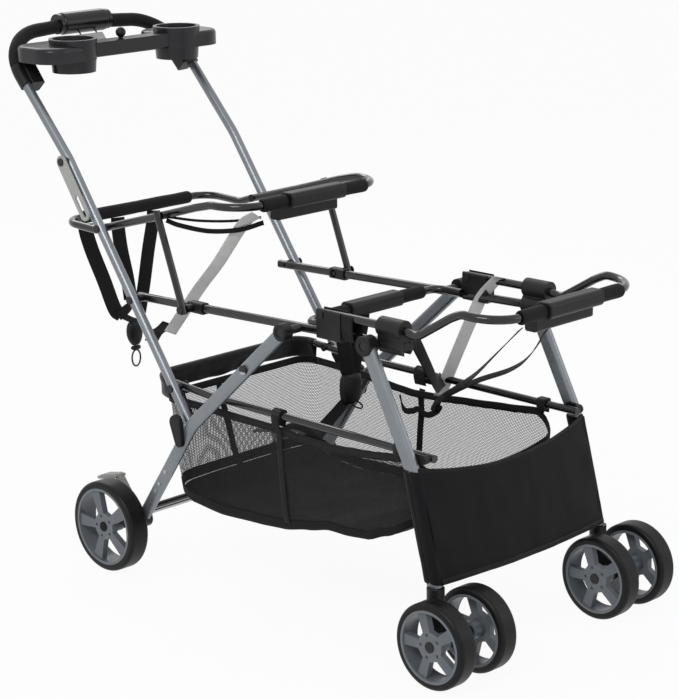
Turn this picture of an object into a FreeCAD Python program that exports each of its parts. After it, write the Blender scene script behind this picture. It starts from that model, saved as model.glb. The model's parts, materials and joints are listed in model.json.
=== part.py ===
import FreeCAD, Part
import math
import os

# Tandem stroller frame that carries two infant car seats, one behind the other.
# Millimetres, X across, Y towards the push handle, Z up. The outlines are drawn
# on a side view whose Y zero is near the middle, and each piece is moved at the
# end so that the origin lies on the floor under the middle of the whole frame.

Vec = FreeCAD.Vector

# Upper rails, the two long side bars that everything pivots on
rail_x = 185.0
rail_wide = 14.0
rail_high = 15.0
rail_corner = 5.0
rail_rear_y = 386.0
rail_rear_z = 526.42
rail_front_y = -300.0
rail_front_z = 547.0
rail_cap_lip = 3.0

# Where the moving parts hang on the rails
handle_pivot_y = 373.0
post_pivot_y = 229.0
rear_leg_pivot_y = -51.0
front_leg_pivot_y = -240.0
pin_radius = 4.0
pin_head_radius = 7.5
pin_head_high = 2.4
running_fit = 0.05
side_gap = 0.3

# Push handle
handle_x = 212.0
handle_od = 19.0
handle_lean = 54.8
handle_top_lean = 47.6
foot_below_pivot = 257.0
lower_pivot_below = 186.0
ring_pivot_above = 152.0
bend_above_pivot = 300.0
bend_radius = 150.0
loop_corner_up = 292.0
loop_top_up = 308.0
loop_radius = 100.0
collar_from = 176.0
collar_long = 45.0
collar_radius = 13.5
grip_radius = 14.0
grip_end_x = 66.0

# Handle console, trigger and drinks tray
console_half = 56.0
console_radius = 22.0
console_ring_wide = 8.0
console_ring_radius = 20.0
trigger_half = 34.0
trigger_thick = 5.0
trigger_long = 28.0
trigger_travel = 8.0
peg_radius = 1.6
peg_share = 0.6
cup_x = 132.0
cup_y = 619.0
cup_rim_z = 989.0
cup_outer = 47.0
cup_inner = 40.0
cup_floor_z = 932.0
cup_bottom_z = 925.0
tray_top_z = 978.0
tray_bottom_z = 948.0
lobe_bottom_z = 948.0
tray_wall = 2.5
beam_rear_y = 636.0
beam_front_y = 597.0
lobe_inner_x = 86.0
lobe_outer_x = 224.0
lobe_front_y = 575.0
lobe_rear_y = 704.0
lobe_corner = 46.0
tray_edge = 8.0
knob_radius = 10.0
clamp_block = 30.0
clamp_inset = 20.0

# Storage hook on the side of the handle
hook_up = 298.0
hook_long = 112.0
hook_wide = 25.0
hook_thick = 4.0
hook_slot_long = 46.0
hook_slot_wide = 10.0
hook_lean = 55.8

# Rear seat ring and its posts
ring_x = 187.0
ring_od = 15.0
ring_rear_y = 604.0
ring_rear_z = 642.0
ring_low_y = 503.0
ring_low_z = 638.0
ring_kink_y = 478.0
ring_kink_z = 646.0
ring_mid_y = 331.0
ring_mid_z = 686.0
ring_rise_y = 219.0
ring_rise_z = 718.0
ring_crest_y = 176.0
ring_crest_z = 728.0
ring_front_y = 102.0
ring_front_z = 728.0
ring_corner = 42.0
ring_front_corner = 64.0
post_x = 216.0
post_od = 13.5
post_top_y = 290.0

# Rear legs, axle and brake
rear_leg_x = 231.5
rear_leg_deep = 26.0
rear_leg_wide = 14.0
rear_knee_y = 196.0
rear_knee_z = 321.0
rear_foot_y = 349.0
rear_foot_z = 101.0
rear_knee_radius = 120.0
axle_y = 405.0
axle_radius = 4.5
brake_bar_y = 395.0
brake_bar_z = 102.0
brake_bar_od = 12.0
bracket_lip = 2.5
pedal_x = 207.0
pedal_wide = 26.0
pedal_front_y = 441.0
pedal_front_z = 165.0
pedal_rear_y = 490.0
pedal_rear_z = 154.0
pedal_thick = 6.0

# Wheels
rear_wheel_radius = 88.0
rear_wheel_x = 262.5
rear_wheel_wide = 42.0
rear_rim_radius = 75.0
front_wheel_radius = 76.0
front_wheel_wide = 38.0
front_rim_radius = 64.0
twin_offset = 51.0
spoke_count = 5
hub_radius = 16.0
rim_wall = 5.0
spoke_inset = 3.0
spoke_deep = 12.0
window_out = 0.73
window_in = 0.52
recess_at = 20.5
recess_radius = 2.8
recess_deep = 2.5
cap_high = 2.0
cap_radius = 9.5

# Front legs, casters and the fabric panel between the legs
front_leg_x = 217.0
front_leg_deep = 30.0
front_leg_wide = 16.0
front_knee_y = -341.0
front_knee_z = 350.0
front_foot_y = -392.6
front_foot_z = 149.0
front_knee_radius = 150.0
caster_x = 219.0
caster_y = -399.0
caster_trail = 44.0
housing_radius = 15.5
housing_bottom_z = 123.0
stem_radius = 6.0
caster_axle_radius = 4.0
fork_wide = 34.0
panel_top_z = 352.0
panel_bottom_z = 158.0
panel_thick = 3.0
panel_bow = 14.0
panel_dip = 24.0

# Lower frame and basket
lower_x = 190.0
lower_od = 14.0
lower_kink_y = 190.0
lower_kink_z = 369.5
lower_rear_y = 344.0
lower_front_y = -359.0
lower_front_z = 365.0
lower_corner = 40.0
basket_half = 193.0
basket_top_z = 345.0
basket_floor_z = 157.0
basket_rear_y = 330.0
basket_wall = 2.5

# Front seat: hinged front bar and fixed rear bar
bar_x = 190.0
bar_od = 15.0
bar_pivot_y = -113.0
bar_pivot_z = 575.0
bar_flat_y = -296.0
bar_dip_y = -328.0
bar_dip_z = 569.0
bar_rise_y = -404.0
bar_rise_z = 614.0
bar_crest_y = -428.0
bar_crest_z = 625.0
bar_front_y = -503.0
bar_front_z = 620.0
bar_corner = 64.0
clamp_front_y = -303.0
clamp_long = 54.0
clamp_radius = 17.0
seat_bar_y = -45.0
seat_bar_z = 546.0
seat_bar_end_y = -108.0

# Foam sleeves, covers and strap boxes that the three seat bars share
foam_radius = 13.0
cover_half = 70.0
seat_cover_half = 66.0
cover_deep = 34.0
cover_high = 30.0
cover_edge = 2.5
foam_end = 132.0
box_half = 74.0
box_high = 30.0
box_ribs = 6
strap_thick = 2.0
strap_wide = 25.0


def rail_z(y):
    share = (y - rail_rear_y) / (rail_front_y - rail_rear_y)
    return rail_rear_z + share * (rail_front_z - rail_rear_z)


def on_handle(up):
    """Point of the handle's straight part, a distance above its rail pivot."""
    lean = math.radians(handle_lean)
    pivot_z = rail_z(handle_pivot_y)
    return (handle_pivot_y + up * math.cos(lean), pivot_z + up * math.sin(lean))


def on_loop(up, off=0.0):
    """Point of the handle's upper plane, a distance past the bend and off the plane."""
    lean = math.radians(handle_top_lean)
    y, z = on_handle(bend_above_pivot)
    return (y + up * math.cos(lean) - off * math.sin(lean),
            z + up * math.sin(lean) + off * math.cos(lean))


def at(x, point):
    return Vec(x, point[0], point[1])


class Route:
    """Straight runs joined by tangent arcs, from which any stretch can be cut."""

    def __init__(self, points, radii):
        self.parts = []
        start = points[0]
        for i in range(1, len(points) - 1):
            corner = points[i]
            back = (points[i - 1] - corner).normalize()
            ahead = (points[i + 1] - corner).normalize()
            half = back.getAngle(ahead) / 2
            reach = radii[i - 1] / math.tan(half)
            into = corner + back * reach
            out_of = corner + ahead * reach
            middle = corner + (back + ahead).normalize() * (radii[i - 1] / math.sin(half))
            self.parts.append((start, into, None))
            self.parts.append((into, out_of, (middle, radii[i - 1], math.pi - 2 * half)))
            start = out_of
        self.parts.append((start, points[-1], None))
        self.lengths = [self.part_length(part) for part in self.parts]
        self.length = sum(self.lengths)

    def part_length(self, part):
        start, end, arc = part
        return (end - start).Length if arc is None else arc[1] * arc[2]

    def on_part(self, index, along):
        start, end, arc = self.parts[index]
        if arc is None:
            return start + (end - start).normalize() * along
        middle, radius, turn = arc
        u = (start - middle).normalize()
        w = (end - middle).normalize()
        side = (w - u * w.dot(u)).normalize()
        angle = along / radius
        return middle + u * (radius * math.cos(angle)) + side * (radius * math.sin(angle))

    def point(self, along):
        for index, length in enumerate(self.lengths):
            if along <= length or index == len(self.lengths) - 1:
                return self.on_part(index, along)
            along -= length

    def heading(self, along):
        step = 0.01
        before = self.point(max(along - step, 0.0))
        after = self.point(min(along + step, self.length))
        return (after - before).normalize()

    def wire(self, first=0.0, last=None):
        last = self.length if last is None else last
        edges = []
        passed = 0.0
        for index, length in enumerate(self.lengths):
            low = max(first - passed, 0.0)
            high = min(last - passed, length)
            if high - low > 1e-6:
                a = self.on_part(index, low)
                b = self.on_part(index, high)
                if self.parts[index][2] is None:
                    edges.append(Part.LineSegment(a, b).toShape())
                else:
                    mid = self.on_part(index, (low + high) / 2)
                    edges.append(Part.Arc(a, mid, b).toShape())
            passed += length
        return Part.Wire(edges)


def sweep(route, profile, first=0.0, last=None):
    return route.wire(first, last).makePipeShell([profile], True, False)


def round_tube(route, radius, first=0.0, last=None):
    ring = Part.makeCircle(radius, route.point(first), route.heading(first))
    return sweep(route, Part.Wire([ring]), first, last)


def stadium(centre, long_way, across, length, width):
    """Slot outline, length along long_way and width along across."""
    half = (length - width) / 2
    r = width / 2
    a = centre - long_way * half
    b = centre + long_way * half
    return Part.Wire([
        Part.LineSegment(a + across * r, b + across * r).toShape(),
        Part.Arc(b + across * r, b + long_way * r, b - across * r).toShape(),
        Part.LineSegment(b - across * r, a - across * r).toShape(),
        Part.Arc(a - across * r, a - long_way * r, a + across * r).toShape()])


def oval_tube(route, deep, wide, first=0.0, last=None):
    heading = route.heading(first)
    across = Vec(1, 0, 0)
    outline = stadium(route.point(first), heading.cross(across), across, deep, wide)
    return sweep(route, outline, first, last)


def rod_x(x0, x1, point, radius):
    return Part.makeCylinder(radius, x1 - x0, at(x0, point), Vec(1, 0, 0))


def rod(a, b, radius):
    return Part.makeCylinder(radius, (b - a).Length, a, b - a)


def block(x0, x1, y0, y1, z0, z1, corner=0.0, along="x"):
    """Box with the four edges along one axis rounded."""
    body = Part.makeBox(x1 - x0, y1 - y0, z1 - z0, Vec(x0, y0, z0))
    if corner <= 0:
        return body
    axis = {"x": Vec(1, 0, 0), "y": Vec(0, 1, 0), "z": Vec(0, 0, 1)}[along]
    edges = [e for e in body.Edges if abs(abs(e.tangentAt(0).dot(axis)) - 1) < 1e-6]
    return body.makeFillet(corner, edges)


def side_plate(points, x0, x1):
    """Flat plate drawn in the side view and given its thickness along X."""
    outline = Part.makePolygon([at(x0, p) for p in points] + [at(x0, points[0])])
    return Part.Face(outline).extrude(Vec(x1 - x0, 0, 0))


def belt(circles, x0, x1):
    """Plate round a row of circles in the side view, joined by their tangents."""
    shape = None
    for (a, ra), (b, rb) in zip(circles, circles[1:]):
        pa, pb = at(x0, a), at(x0, b)
        line = pb - pa
        ahead = Vec(line).normalize()
        left = ahead.cross(Vec(1, 0, 0))
        lean = (ra - rb) / line.Length
        level = math.sqrt(1 - lean * lean)
        up = ahead * lean + left * level
        down = ahead * lean - left * level
        outline = Part.Wire([
            Part.LineSegment(pa + up * ra, pb + up * rb).toShape(),
            Part.Arc(pb + up * rb, pb + ahead * rb, pb + down * rb).toShape(),
            Part.LineSegment(pb + down * rb, pa + down * ra).toShape(),
            Part.Arc(pa + down * ra, pa - ahead * ra, pa + up * ra).toShape()])
        link = Part.Face(outline).extrude(Vec(x1 - x0, 0, 0))
        shape = link if shape is None else shape.fuse(link)
    return shape.removeSplitter()


def mirrored(shape):
    return shape.mirror(Vec(0, 0, 0), Vec(1, 0, 0))


def both(shapes):
    """The given near-side solids and their mirror images."""
    return list(shapes) + [mirrored(s) for s in shapes]


def ribbon(points, wide_way, wide, thick):
    """Flat strap through the points, its width along wide_way."""
    solid = None
    for a, b in zip(points, points[1:]):
        ahead = (b - a).normalize()
        face_way = ahead.cross(wide_way).normalize()
        w = wide_way * (wide / 2)
        t = face_way * (thick / 2)
        loop = Part.makePolygon([a - w - t, a + w - t, a + w + t, a - w + t, a - w - t])
        piece = Part.Face(loop).extrude(b - a)
        if solid is None:
            solid = piece
        else:
            joint = Part.makeCylinder(thick / 2, wide, a - w, wide_way)
            solid = solid.fuse([piece, joint])
    return solid.removeSplitter()


# Places that several pieces share
handle_pivot = (handle_pivot_y, rail_z(handle_pivot_y))
post_pivot = (post_pivot_y, rail_z(post_pivot_y))
rear_leg_pivot = (rear_leg_pivot_y, rail_z(rear_leg_pivot_y))
front_leg_pivot = (front_leg_pivot_y, rail_z(front_leg_pivot_y))
lower_pivot = on_handle(-lower_pivot_below)
ring_pivot = on_handle(ring_pivot_above)
bar_pivot = (bar_pivot_y, bar_pivot_z)
axle = (axle_y, rear_wheel_radius)
brake_axis = (brake_bar_y, brake_bar_z)
caster_axle = (caster_y - caster_trail, front_wheel_radius)
rail_outer = rail_x + rail_wide / 2
rail_inner = rail_x - rail_wide / 2
pin_bore = pin_radius + running_fit

ring_share = (ring_kink_y - post_top_y) / (ring_kink_y - ring_mid_y)
post_top = (post_top_y, ring_kink_z + ring_share * (ring_mid_z - ring_kink_z))


def rail_axis_shape(wide, high, corner, y0, y1, x):
    """Rounded bar along the rail's slope between two Y values."""
    a = Vec(x, y0, rail_z(y0))
    b = Vec(x, y1, rail_z(y1))
    ahead = (b - a).normalize()
    up = Vec(1, 0, 0).cross(ahead)
    up = up if up.z > 0 else up * -1
    w, h, r = wide / 2, high / 2, corner
    side = Vec(1, 0, 0)

    def p(i, j):
        return a + side * i + up * j

    bend = r * (1 - math.sqrt(0.5))
    outline = Part.Wire([
        Part.LineSegment(p(-w + r, -h), p(w - r, -h)).toShape(),
        Part.Arc(p(w - r, -h), p(w - bend, -h + bend), p(w, -h + r)).toShape(),
        Part.LineSegment(p(w, -h + r), p(w, h - r)).toShape(),
        Part.Arc(p(w, h - r), p(w - bend, h - bend), p(w - r, h)).toShape(),
        Part.LineSegment(p(w - r, h), p(-w + r, h)).toShape(),
        Part.Arc(p(-w + r, h), p(-w + bend, h - bend), p(-w, h - r)).toShape(),
        Part.LineSegment(p(-w, h - r), p(-w, -h + r)).toShape(),
        Part.Arc(p(-w, -h + r), p(-w + bend, -h + bend), p(-w + r, -h)).toShape()])
    return Part.Face(outline).extrude(b - a)


def rail_blank(x=None, y0=None, y1=None):
    return rail_axis_shape(rail_wide, rail_high, rail_corner,
                           rail_rear_y if y0 is None else y0,
                           rail_front_y if y1 is None else y1,
                           rail_x if x is None else x)


# Routes of the bent tubes
handle_bend = on_handle(bend_above_pivot)
handle_route = Route(
    [at(-handle_x, on_handle(-foot_below_pivot)), at(-handle_x, handle_bend),
     at(-handle_x, on_loop(loop_corner_up)), at(0, on_loop(loop_top_up)),
     at(handle_x, on_loop(loop_corner_up)), at(handle_x, handle_bend),
     at(handle_x, on_handle(-foot_below_pivot))],
    [bend_radius, loop_radius, 500.0, loop_radius, bend_radius])

lower_slope = (lower_pivot[1] - lower_kink_z) / (lower_pivot[0] - lower_kink_y)
lower_rear_z = lower_kink_z + lower_slope * (lower_rear_y - lower_kink_y)
lower_route = Route(
    [Vec(-lower_x, lower_front_y - 10, lower_front_z), Vec(-lower_x, lower_kink_y, lower_kink_z),
     Vec(-lower_x, lower_rear_y, lower_rear_z), Vec(lower_x, lower_rear_y, lower_rear_z),
     Vec(lower_x, lower_kink_y, lower_kink_z), Vec(lower_x, lower_front_y - 10, lower_front_z)],
    [200.0, lower_corner, lower_corner, 200.0])


def ring_side(sign):
    return [Vec(sign * ring_x, ring_front_y, ring_front_z),
            Vec(sign * ring_x, ring_crest_y, ring_crest_z),
            Vec(sign * ring_x, ring_rise_y, ring_rise_z),
            Vec(sign * ring_x, ring_mid_y, ring_mid_z),
            Vec(sign * ring_x, ring_kink_y, ring_kink_z),
            Vec(sign * ring_x, ring_low_y, ring_low_z),
            Vec(sign * ring_x, ring_rear_y, ring_rear_z)]


ring_joint = 0.5
ring_route = Route(
    [Vec(-ring_joint, ring_front_y, ring_front_z)] + ring_side(-1) + ring_side(1)[::-1]
    + [Vec(ring_joint, ring_front_y, ring_front_z)],
    [ring_front_corner, 60.0, 60.0, 200.0, 60.0, 30.0, ring_corner,
     ring_corner, 30.0, 60.0, 200.0, 60.0, 60.0, ring_front_corner])


def bar_side(sign):
    return [Vec(sign * bar_x, bar_pivot_y + 8, bar_pivot_z + 1),
            Vec(sign * bar_x, bar_flat_y, bar_pivot_z + 2),
            Vec(sign * bar_x, bar_dip_y, bar_dip_z),
            Vec(sign * bar_x, bar_rise_y, bar_rise_z),
            Vec(sign * bar_x, bar_crest_y, bar_crest_z),
            Vec(sign * bar_x, bar_front_y, bar_front_z)]


front_bar_route = Route(
    bar_side(-1) + bar_side(1)[::-1],
    [40.0, 36.0, 36.0, 36.0, bar_corner, bar_corner, 36.0, 36.0, 36.0, 40.0])

seat_bar_x = rail_inner - bar_od / 2
seat_bar_route = Route(
    [Vec(-seat_bar_x, seat_bar_end_y, seat_bar_z), Vec(-seat_bar_x, seat_bar_y, seat_bar_z),
     Vec(seat_bar_x, seat_bar_y, seat_bar_z), Vec(seat_bar_x, seat_bar_end_y, seat_bar_z)],
    [25.0, 25.0])

rear_leg_route = Route(
    [at(-rear_leg_x, rear_leg_pivot), Vec(-rear_leg_x, rear_knee_y, rear_knee_z),
     Vec(-rear_leg_x, rear_foot_y, rear_foot_z)], [rear_knee_radius])
front_leg_route = Route(
    [at(-front_leg_x, front_leg_pivot), Vec(-front_leg_x, front_knee_y, front_knee_z),
     Vec(-front_leg_x, front_foot_y, front_foot_z)], [front_knee_radius])


def seat_pin(outer, point):
    """Pin through the rail that ends in a head outside the moving tube."""
    shank = rod_x(-outer - side_gap, -rail_inner + pin_head_high, point, pin_radius)
    head = rod_x(-outer - side_gap - pin_head_high, -outer - side_gap, point, pin_head_radius)
    return shank.fuse(head)


def spacer(x_from, x_to, point, radius=pin_head_radius):
    ring = rod_x(-x_to, -x_from, point, radius)
    return ring.cut(rod_x(-x_to - 1, -x_from + 1, point, pin_radius))


pins = [(handle_pivot, handle_x + handle_od / 2, handle_x - handle_od / 2),
        (post_pivot, post_x + post_od / 2, post_x - post_od / 2),
        (rear_leg_pivot, rear_leg_x + rear_leg_wide / 2, rear_leg_x - rear_leg_wide / 2),
        (front_leg_pivot, front_leg_x + front_leg_wide / 2, front_leg_x - front_leg_wide / 2)]


def upper_rails():
    rail = rail_blank(-rail_x)
    for point, outer, inner in pins:
        rail = rail.cut(rod_x(-rail_outer - 1, -rail_inner + 1, point, pin_radius))
    return both([rail])


def frame_pins():
    solids = []
    for point, outer, inner in pins:
        solids.append(seat_pin(outer, point))
        solids.append(spacer(rail_outer, inner - side_gap, point))
    return both(solids)


def rail_fittings():
    """End plugs, the saddles of the posts and the ears of the front bar."""
    solids = []
    for y, way in ((rail_rear_y, 1), (rail_front_y, -1)):
        plug = rail_axis_shape(rail_wide, rail_high, rail_corner, y, y + way * rail_cap_lip, -rail_x)
        solids.append(plug)
    saddle_low = rail_z(post_pivot_y) - rail_high / 2 - 3
    saddle = block(-rail_outer - 3, -rail_inner + 3, post_pivot_y - 26, post_pivot_y + 12,
                   saddle_low, rail_z(post_pivot_y) + rail_high / 2 + 3, 5, "y")
    saddle = saddle.cut(rail_blank(-rail_x))
    saddle = saddle.cut(rod_x(-rail_outer - 9, -rail_inner + 9, post_pivot, pin_head_radius))
    solids.append(saddle)
    ear_thick = 4.0
    ear_x = bar_x + bar_od / 2 + side_gap
    inner_x = bar_x - bar_od / 2 - side_gap
    base_low = rail_z(bar_pivot_y) - rail_high / 2 - 2
    base = block(-ear_x - ear_thick, -inner_x + ear_thick, bar_pivot_y - 48, bar_pivot_y + 10,
                 base_low, bar_pivot_z + 10, 4, "y")
    gap = block(-ear_x, -inner_x, bar_pivot_y - 60, bar_pivot_y + 20,
                bar_pivot_z - 12, bar_pivot_z + 20)
    base = base.cut(gap).cut(rail_blank(-rail_x))
    base = base.cut(rod_x(-ear_x - 9, -inner_x + 9, bar_pivot, pin_radius))
    solids.append(base)
    ear_pin = rod_x(-ear_x - ear_thick, -inner_x + ear_thick, bar_pivot, pin_radius)
    heads = [rod_x(-ear_x - ear_thick - 2, -ear_x - ear_thick, bar_pivot, pin_head_radius),
             rod_x(-inner_x + ear_thick, -inner_x + ear_thick + 2, bar_pivot, pin_head_radius)]
    solids.append(ear_pin.fuse(heads))
    return both(solids)


def front_seat_bar():
    bar = round_tube(seat_bar_route, bar_od / 2)
    return [bar]


def foam_pair(route, from_middle, to_middle, radius, core):
    """Foam sleeves on both sides of the middle of a cross tube."""
    middle = route.length / 2
    solids = []
    for way in (-1, 1):
        a = middle + way * from_middle
        b = middle + way * to_middle
        sleeve = round_tube(route, radius, min(a, b), max(a, b))
        solids.append(sleeve.cut(core))
    return solids


def bar_cover(point, half, core):
    """Moulded half shell that wraps a cross tube from behind and below."""
    y, z = point
    shell = block(-half, half, y - cover_deep / 2, y + cover_deep / 2,
                  z - cover_high + cover_deep / 2, z + cover_deep / 2 - 2, 9)
    ends = [e for e in shell.Edges if abs(abs(e.CenterOfMass.x) - half) < 0.01]
    return shell.makeFillet(cover_edge, ends).cut(core)


def strap_box(y, z_top, half):
    """Ribbed box under a cover, where the seat strap is anchored."""
    deep = 26.0
    box = block(-half, half, y - deep / 2, y + deep / 2, z_top - box_high, z_top, 5)
    pitch = 2 * half / box_ribs
    for i in range(box_ribs):
        x = -half + pitch * (i + 0.5)
        box = box.cut(Part.makeBox(pitch * 0.5, deep * 0.5, box_high * 0.6,
                                   Vec(x - pitch * 0.25, y - deep, z_top - box_high * 0.9)))
    return box


# Rear seat ring
def ring_tube():
    ring = round_tube(ring_route, ring_od / 2)
    for sign in (-1, 1):
        centre = sign * ring_x
        ring = ring.cut(rod_x(centre - ring_od, centre + ring_od, ring_pivot, pin_bore))
    return [ring]


def ring_parts():
    tube = round_tube(ring_route, ring_od / 2)
    middle = ring_route.length / 2
    foams = []
    for way in (-1, 1):
        a, b = middle + way * 1.0, middle + way * 138.0
        sleeve = round_tube(ring_route, foam_radius, min(a, b), max(a, b))
        foams.append(sleeve.cut(tube))
    for way in (-1, 1):
        a = cover_half + 1.0
        low, high = (a, foam_end) if way < 0 else (ring_route.length - foam_end, ring_route.length - a)
        foams.append(round_tube(ring_route, foam_radius, low, high).cut(tube))
    cover = bar_cover((ring_front_y, ring_front_z), cover_half, tube)
    box = strap_box(ring_front_y + 26, ring_front_z - 8, box_half)
    box = box.cut(cover)
    return foams, [cover], [box]


def post_studs():
    """Stubs on the ring that the tops of the posts meet."""
    stub = rod_x(-(post_x - post_od / 2 - side_gap), -ring_x, post_top, pin_head_radius)
    return both([stub.cut(round_tube(ring_route, ring_od / 2))])


def rear_posts():
    low = at(-post_x, post_pivot)
    high = at(-post_x, post_top)
    ahead = (high - low).normalize()
    post = rod(low - ahead * 10, high + ahead * 10, post_od / 2)
    post = post.cut(rod_x(-post_x - post_od, -post_x + post_od, post_pivot, pin_bore))
    return both([post])


# Push handle
def handle_tube():
    tube = round_tube(handle_route, handle_od / 2)
    for sign in (-1, 1):
        centre = sign * handle_x
        tube = tube.cut(rod_x(centre - handle_od, centre + handle_od, handle_pivot, pin_bore))
        for point in (lower_pivot, ring_pivot):
            tube = tube.cut(rod_x(centre - handle_od, centre + handle_od, point, pin_radius))
    return [tube]


def handle_bolts():
    """Bolts that carry the lower frame and the seat ring, each with its spacer."""
    solids = []
    outer = handle_x + handle_od / 2
    inner = handle_x - handle_od / 2
    tube = round_tube(handle_route, handle_od / 2, 0, foot_below_pivot + bend_above_pivot)
    for point, far_side, near_face in ((lower_pivot, lower_x - lower_od / 2, lower_x + lower_od / 2),
                                       (ring_pivot, ring_x - ring_od / 2, ring_x + ring_od / 2)):
        shank = rod_x(-outer, -far_side + side_gap, point, pin_radius)
        heads = [rod_x(-outer - pin_head_high, -outer, point, pin_head_radius),
                 rod_x(-far_side + side_gap, -far_side + side_gap + pin_head_high, point,
                       pin_head_radius)]
        solids.append(shank.fuse(heads))
        sleeve = spacer(near_face + side_gap, inner + 3, point)
        solids.append(sleeve.cut(tube))
    return both(solids)


def collar_span():
    first = foot_below_pivot + bend_above_pivot + collar_from
    return first, first + collar_long


def handle_collars():
    tube = round_tube(handle_route, handle_od / 2)
    first, last = collar_span()
    solids = []
    for low, high in ((first, last), (handle_route.length - last, handle_route.length - first)):
        solids.append(round_tube(handle_route, collar_radius, low, high).cut(tube))
    return solids


def handle_grips():
    tube = round_tube(handle_route, handle_od / 2)
    last = collar_span()[1]
    middle = handle_route.length / 2
    near = round_tube(handle_route, grip_radius, last, middle - grip_end_x).cut(tube)
    far = round_tube(handle_route, grip_radius, middle + grip_end_x,
                     handle_route.length - last).cut(tube)
    return [near, far]


def handle_console():
    """Moulded body over the middle of the grip with a ring at each end."""
    centre = on_loop(loop_top_up)
    tube = round_tube(handle_route, handle_od / 2)
    body = rod_x(-console_half, console_half, centre, console_radius)
    body = body.makeFillet(6.0, [e for e in body.Edges if e.Closed])
    rings = []
    for sign in (-1, 1):
        x0 = sign * (console_half + console_ring_wide / 2) - console_ring_wide / 2
        rings.append(rod_x(x0, x0 + console_ring_wide, centre, console_ring_radius))
    return [body.fuse(rings).cut(tube)]


def fold_trigger():
    centre = on_loop(loop_top_up - console_radius - 1 - trigger_long / 2 - trigger_travel)
    lean = math.radians(handle_top_lean)
    plate = Part.makeBox(2 * trigger_half, trigger_long, trigger_thick,
                         Vec(-trigger_half, -trigger_long / 2, -trigger_thick / 2))
    plate = plate.makeFillet(2.0, plate.Edges)
    plate.rotate(Vec(0, 0, 0), Vec(1, 0, 0), math.degrees(lean))
    plate.translate(at(0, centre))
    for x in (-trigger_half * peg_share, trigger_half * peg_share):
        low = at(x, on_loop(loop_top_up - 3 * trigger_long))
        plate = plate.cut(rod(low, at(x, on_loop(loop_top_up)), peg_radius + running_fit))
    return [plate]


def trigger_rails():
    """Two guide pegs from the console that the trigger slides on."""
    solids = []
    low = loop_top_up - console_radius - 1 - trigger_long * 0.7 - trigger_travel
    for x in (-trigger_half * peg_share, trigger_half * peg_share):
        solids.append(rod(at(x, on_loop(low)), at(x, on_loop(loop_top_up - console_radius)), peg_radius))
    return solids


def tray_blank(shrink, drop):
    """Tray body drawn in by a wall: two rounded lobes joined by a beam, open below by drop."""
    top = tray_top_z - shrink
    edge = tray_edge - shrink
    beam = block(-cup_x, cup_x, beam_front_y + shrink, beam_rear_y - shrink,
                 tray_bottom_z - drop, top + edge, edge, "x")
    beam = beam.cut(block(-cup_x, cup_x, beam_front_y, beam_rear_y, top, top + 2 * tray_edge))
    lobes = []
    for sign in (-1, 1):
        x0 = sign * (lobe_inner_x + lobe_outer_x) / 2 - (lobe_outer_x - lobe_inner_x) / 2
        lobe = block(x0 + shrink, x0 + lobe_outer_x - lobe_inner_x - shrink,
                     lobe_front_y + shrink, lobe_rear_y - shrink, lobe_bottom_z - drop, top,
                     lobe_corner - shrink, "z")
        rim_edges = [e for e in lobe.Edges if abs(e.CenterOfMass.z - top) < 0.01]
        lobes.append(lobe.makeFillet(edge, rim_edges))
    return beam.fuse(lobes)


def drinks_tray():
    shell = tray_blank(0, 0).cut(tray_blank(tray_wall, 1))
    cups = []
    bores = []
    for sign in (-1, 1):
        foot = Vec(sign * cup_x, cup_y, cup_bottom_z)
        cups.append(Part.makeCone(cup_outer - 5, cup_outer, cup_rim_z - cup_bottom_z, foot))
        bores.append(Part.makeCone(cup_inner - 4, cup_inner, cup_rim_z - cup_floor_z + 0.01,
                                   Vec(sign * cup_x, cup_y, cup_floor_z)))
    tray = shell.fuse(cups).cut(bores).cut(handle_collars() + handle_grips() + handle_tube())
    return [max(tray.Solids, key=lambda s: s.Volume)]


def tray_clamps():
    """Blocks on the inner side of the collars and grips, below the tray, that carry it."""
    first, last = collar_span()
    tube = round_tube(handle_route, handle_od / 2, 0, last + 60)
    middle = (first - 4 + last + 14) / 2
    long = last + 14 - (first - 4)
    centre = handle_route.point(middle)
    heading = handle_route.heading(middle)
    clamp = Part.makeBox(clamp_block, clamp_block, long,
                         Vec(-clamp_block / 2, -clamp_block / 2, -long / 2))
    clamp = clamp.makeFillet(4.0, [e for e in clamp.Edges if abs(e.tangentAt(0).z) > 0.9])
    clamp.Placement = FreeCAD.Placement(centre + Vec(clamp_inset, 0, 0),
                                        FreeCAD.Rotation(Vec(0, 0, 1), heading))
    clamp = clamp.cut([tube, handle_collars()[0], handle_grips()[0]] + drinks_tray())
    return both([max(clamp.Solids, key=lambda s: s.Volume)])


def tray_knob():
    foot = Vec(-16, beam_front_y + 18, tray_top_z)
    stalk = Part.makeCylinder(4.5, 4, foot)
    ball = Part.makeSphere(knob_radius, foot + Vec(0, 0, 3 + knob_radius * 0.9))
    return [stalk.fuse(ball).cut(Part.makeBox(40, 40, 20, foot - Vec(20, 20, 20)))]


def handle_latches():
    """Channel brackets on the inner face of the handle's lower ends."""
    tube = round_tube(handle_route, handle_od / 2, 0, foot_below_pivot)
    reach = foot_below_pivot - lower_pivot_below
    a = on_handle(-lower_pivot_below - 18)
    b = on_handle(-foot_below_pivot + 4)
    inner = handle_x - handle_od / 2
    plate = belt([(a, 9.0), (b, 7.0)], -inner - 4, -inner + 1.2)
    nose = on_handle(-lower_pivot_below - reach * 0.55)
    return both([plate.cut(tube).cut(rod_x(-inner - 5, -inner + 5, nose, 2.0))])


def hook_points():
    top = on_handle(hook_up)
    lean = math.radians(hook_lean)
    low = (top[0] - hook_long * math.cos(lean), top[1] - hook_long * math.sin(lean))
    return top, low, lean


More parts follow.
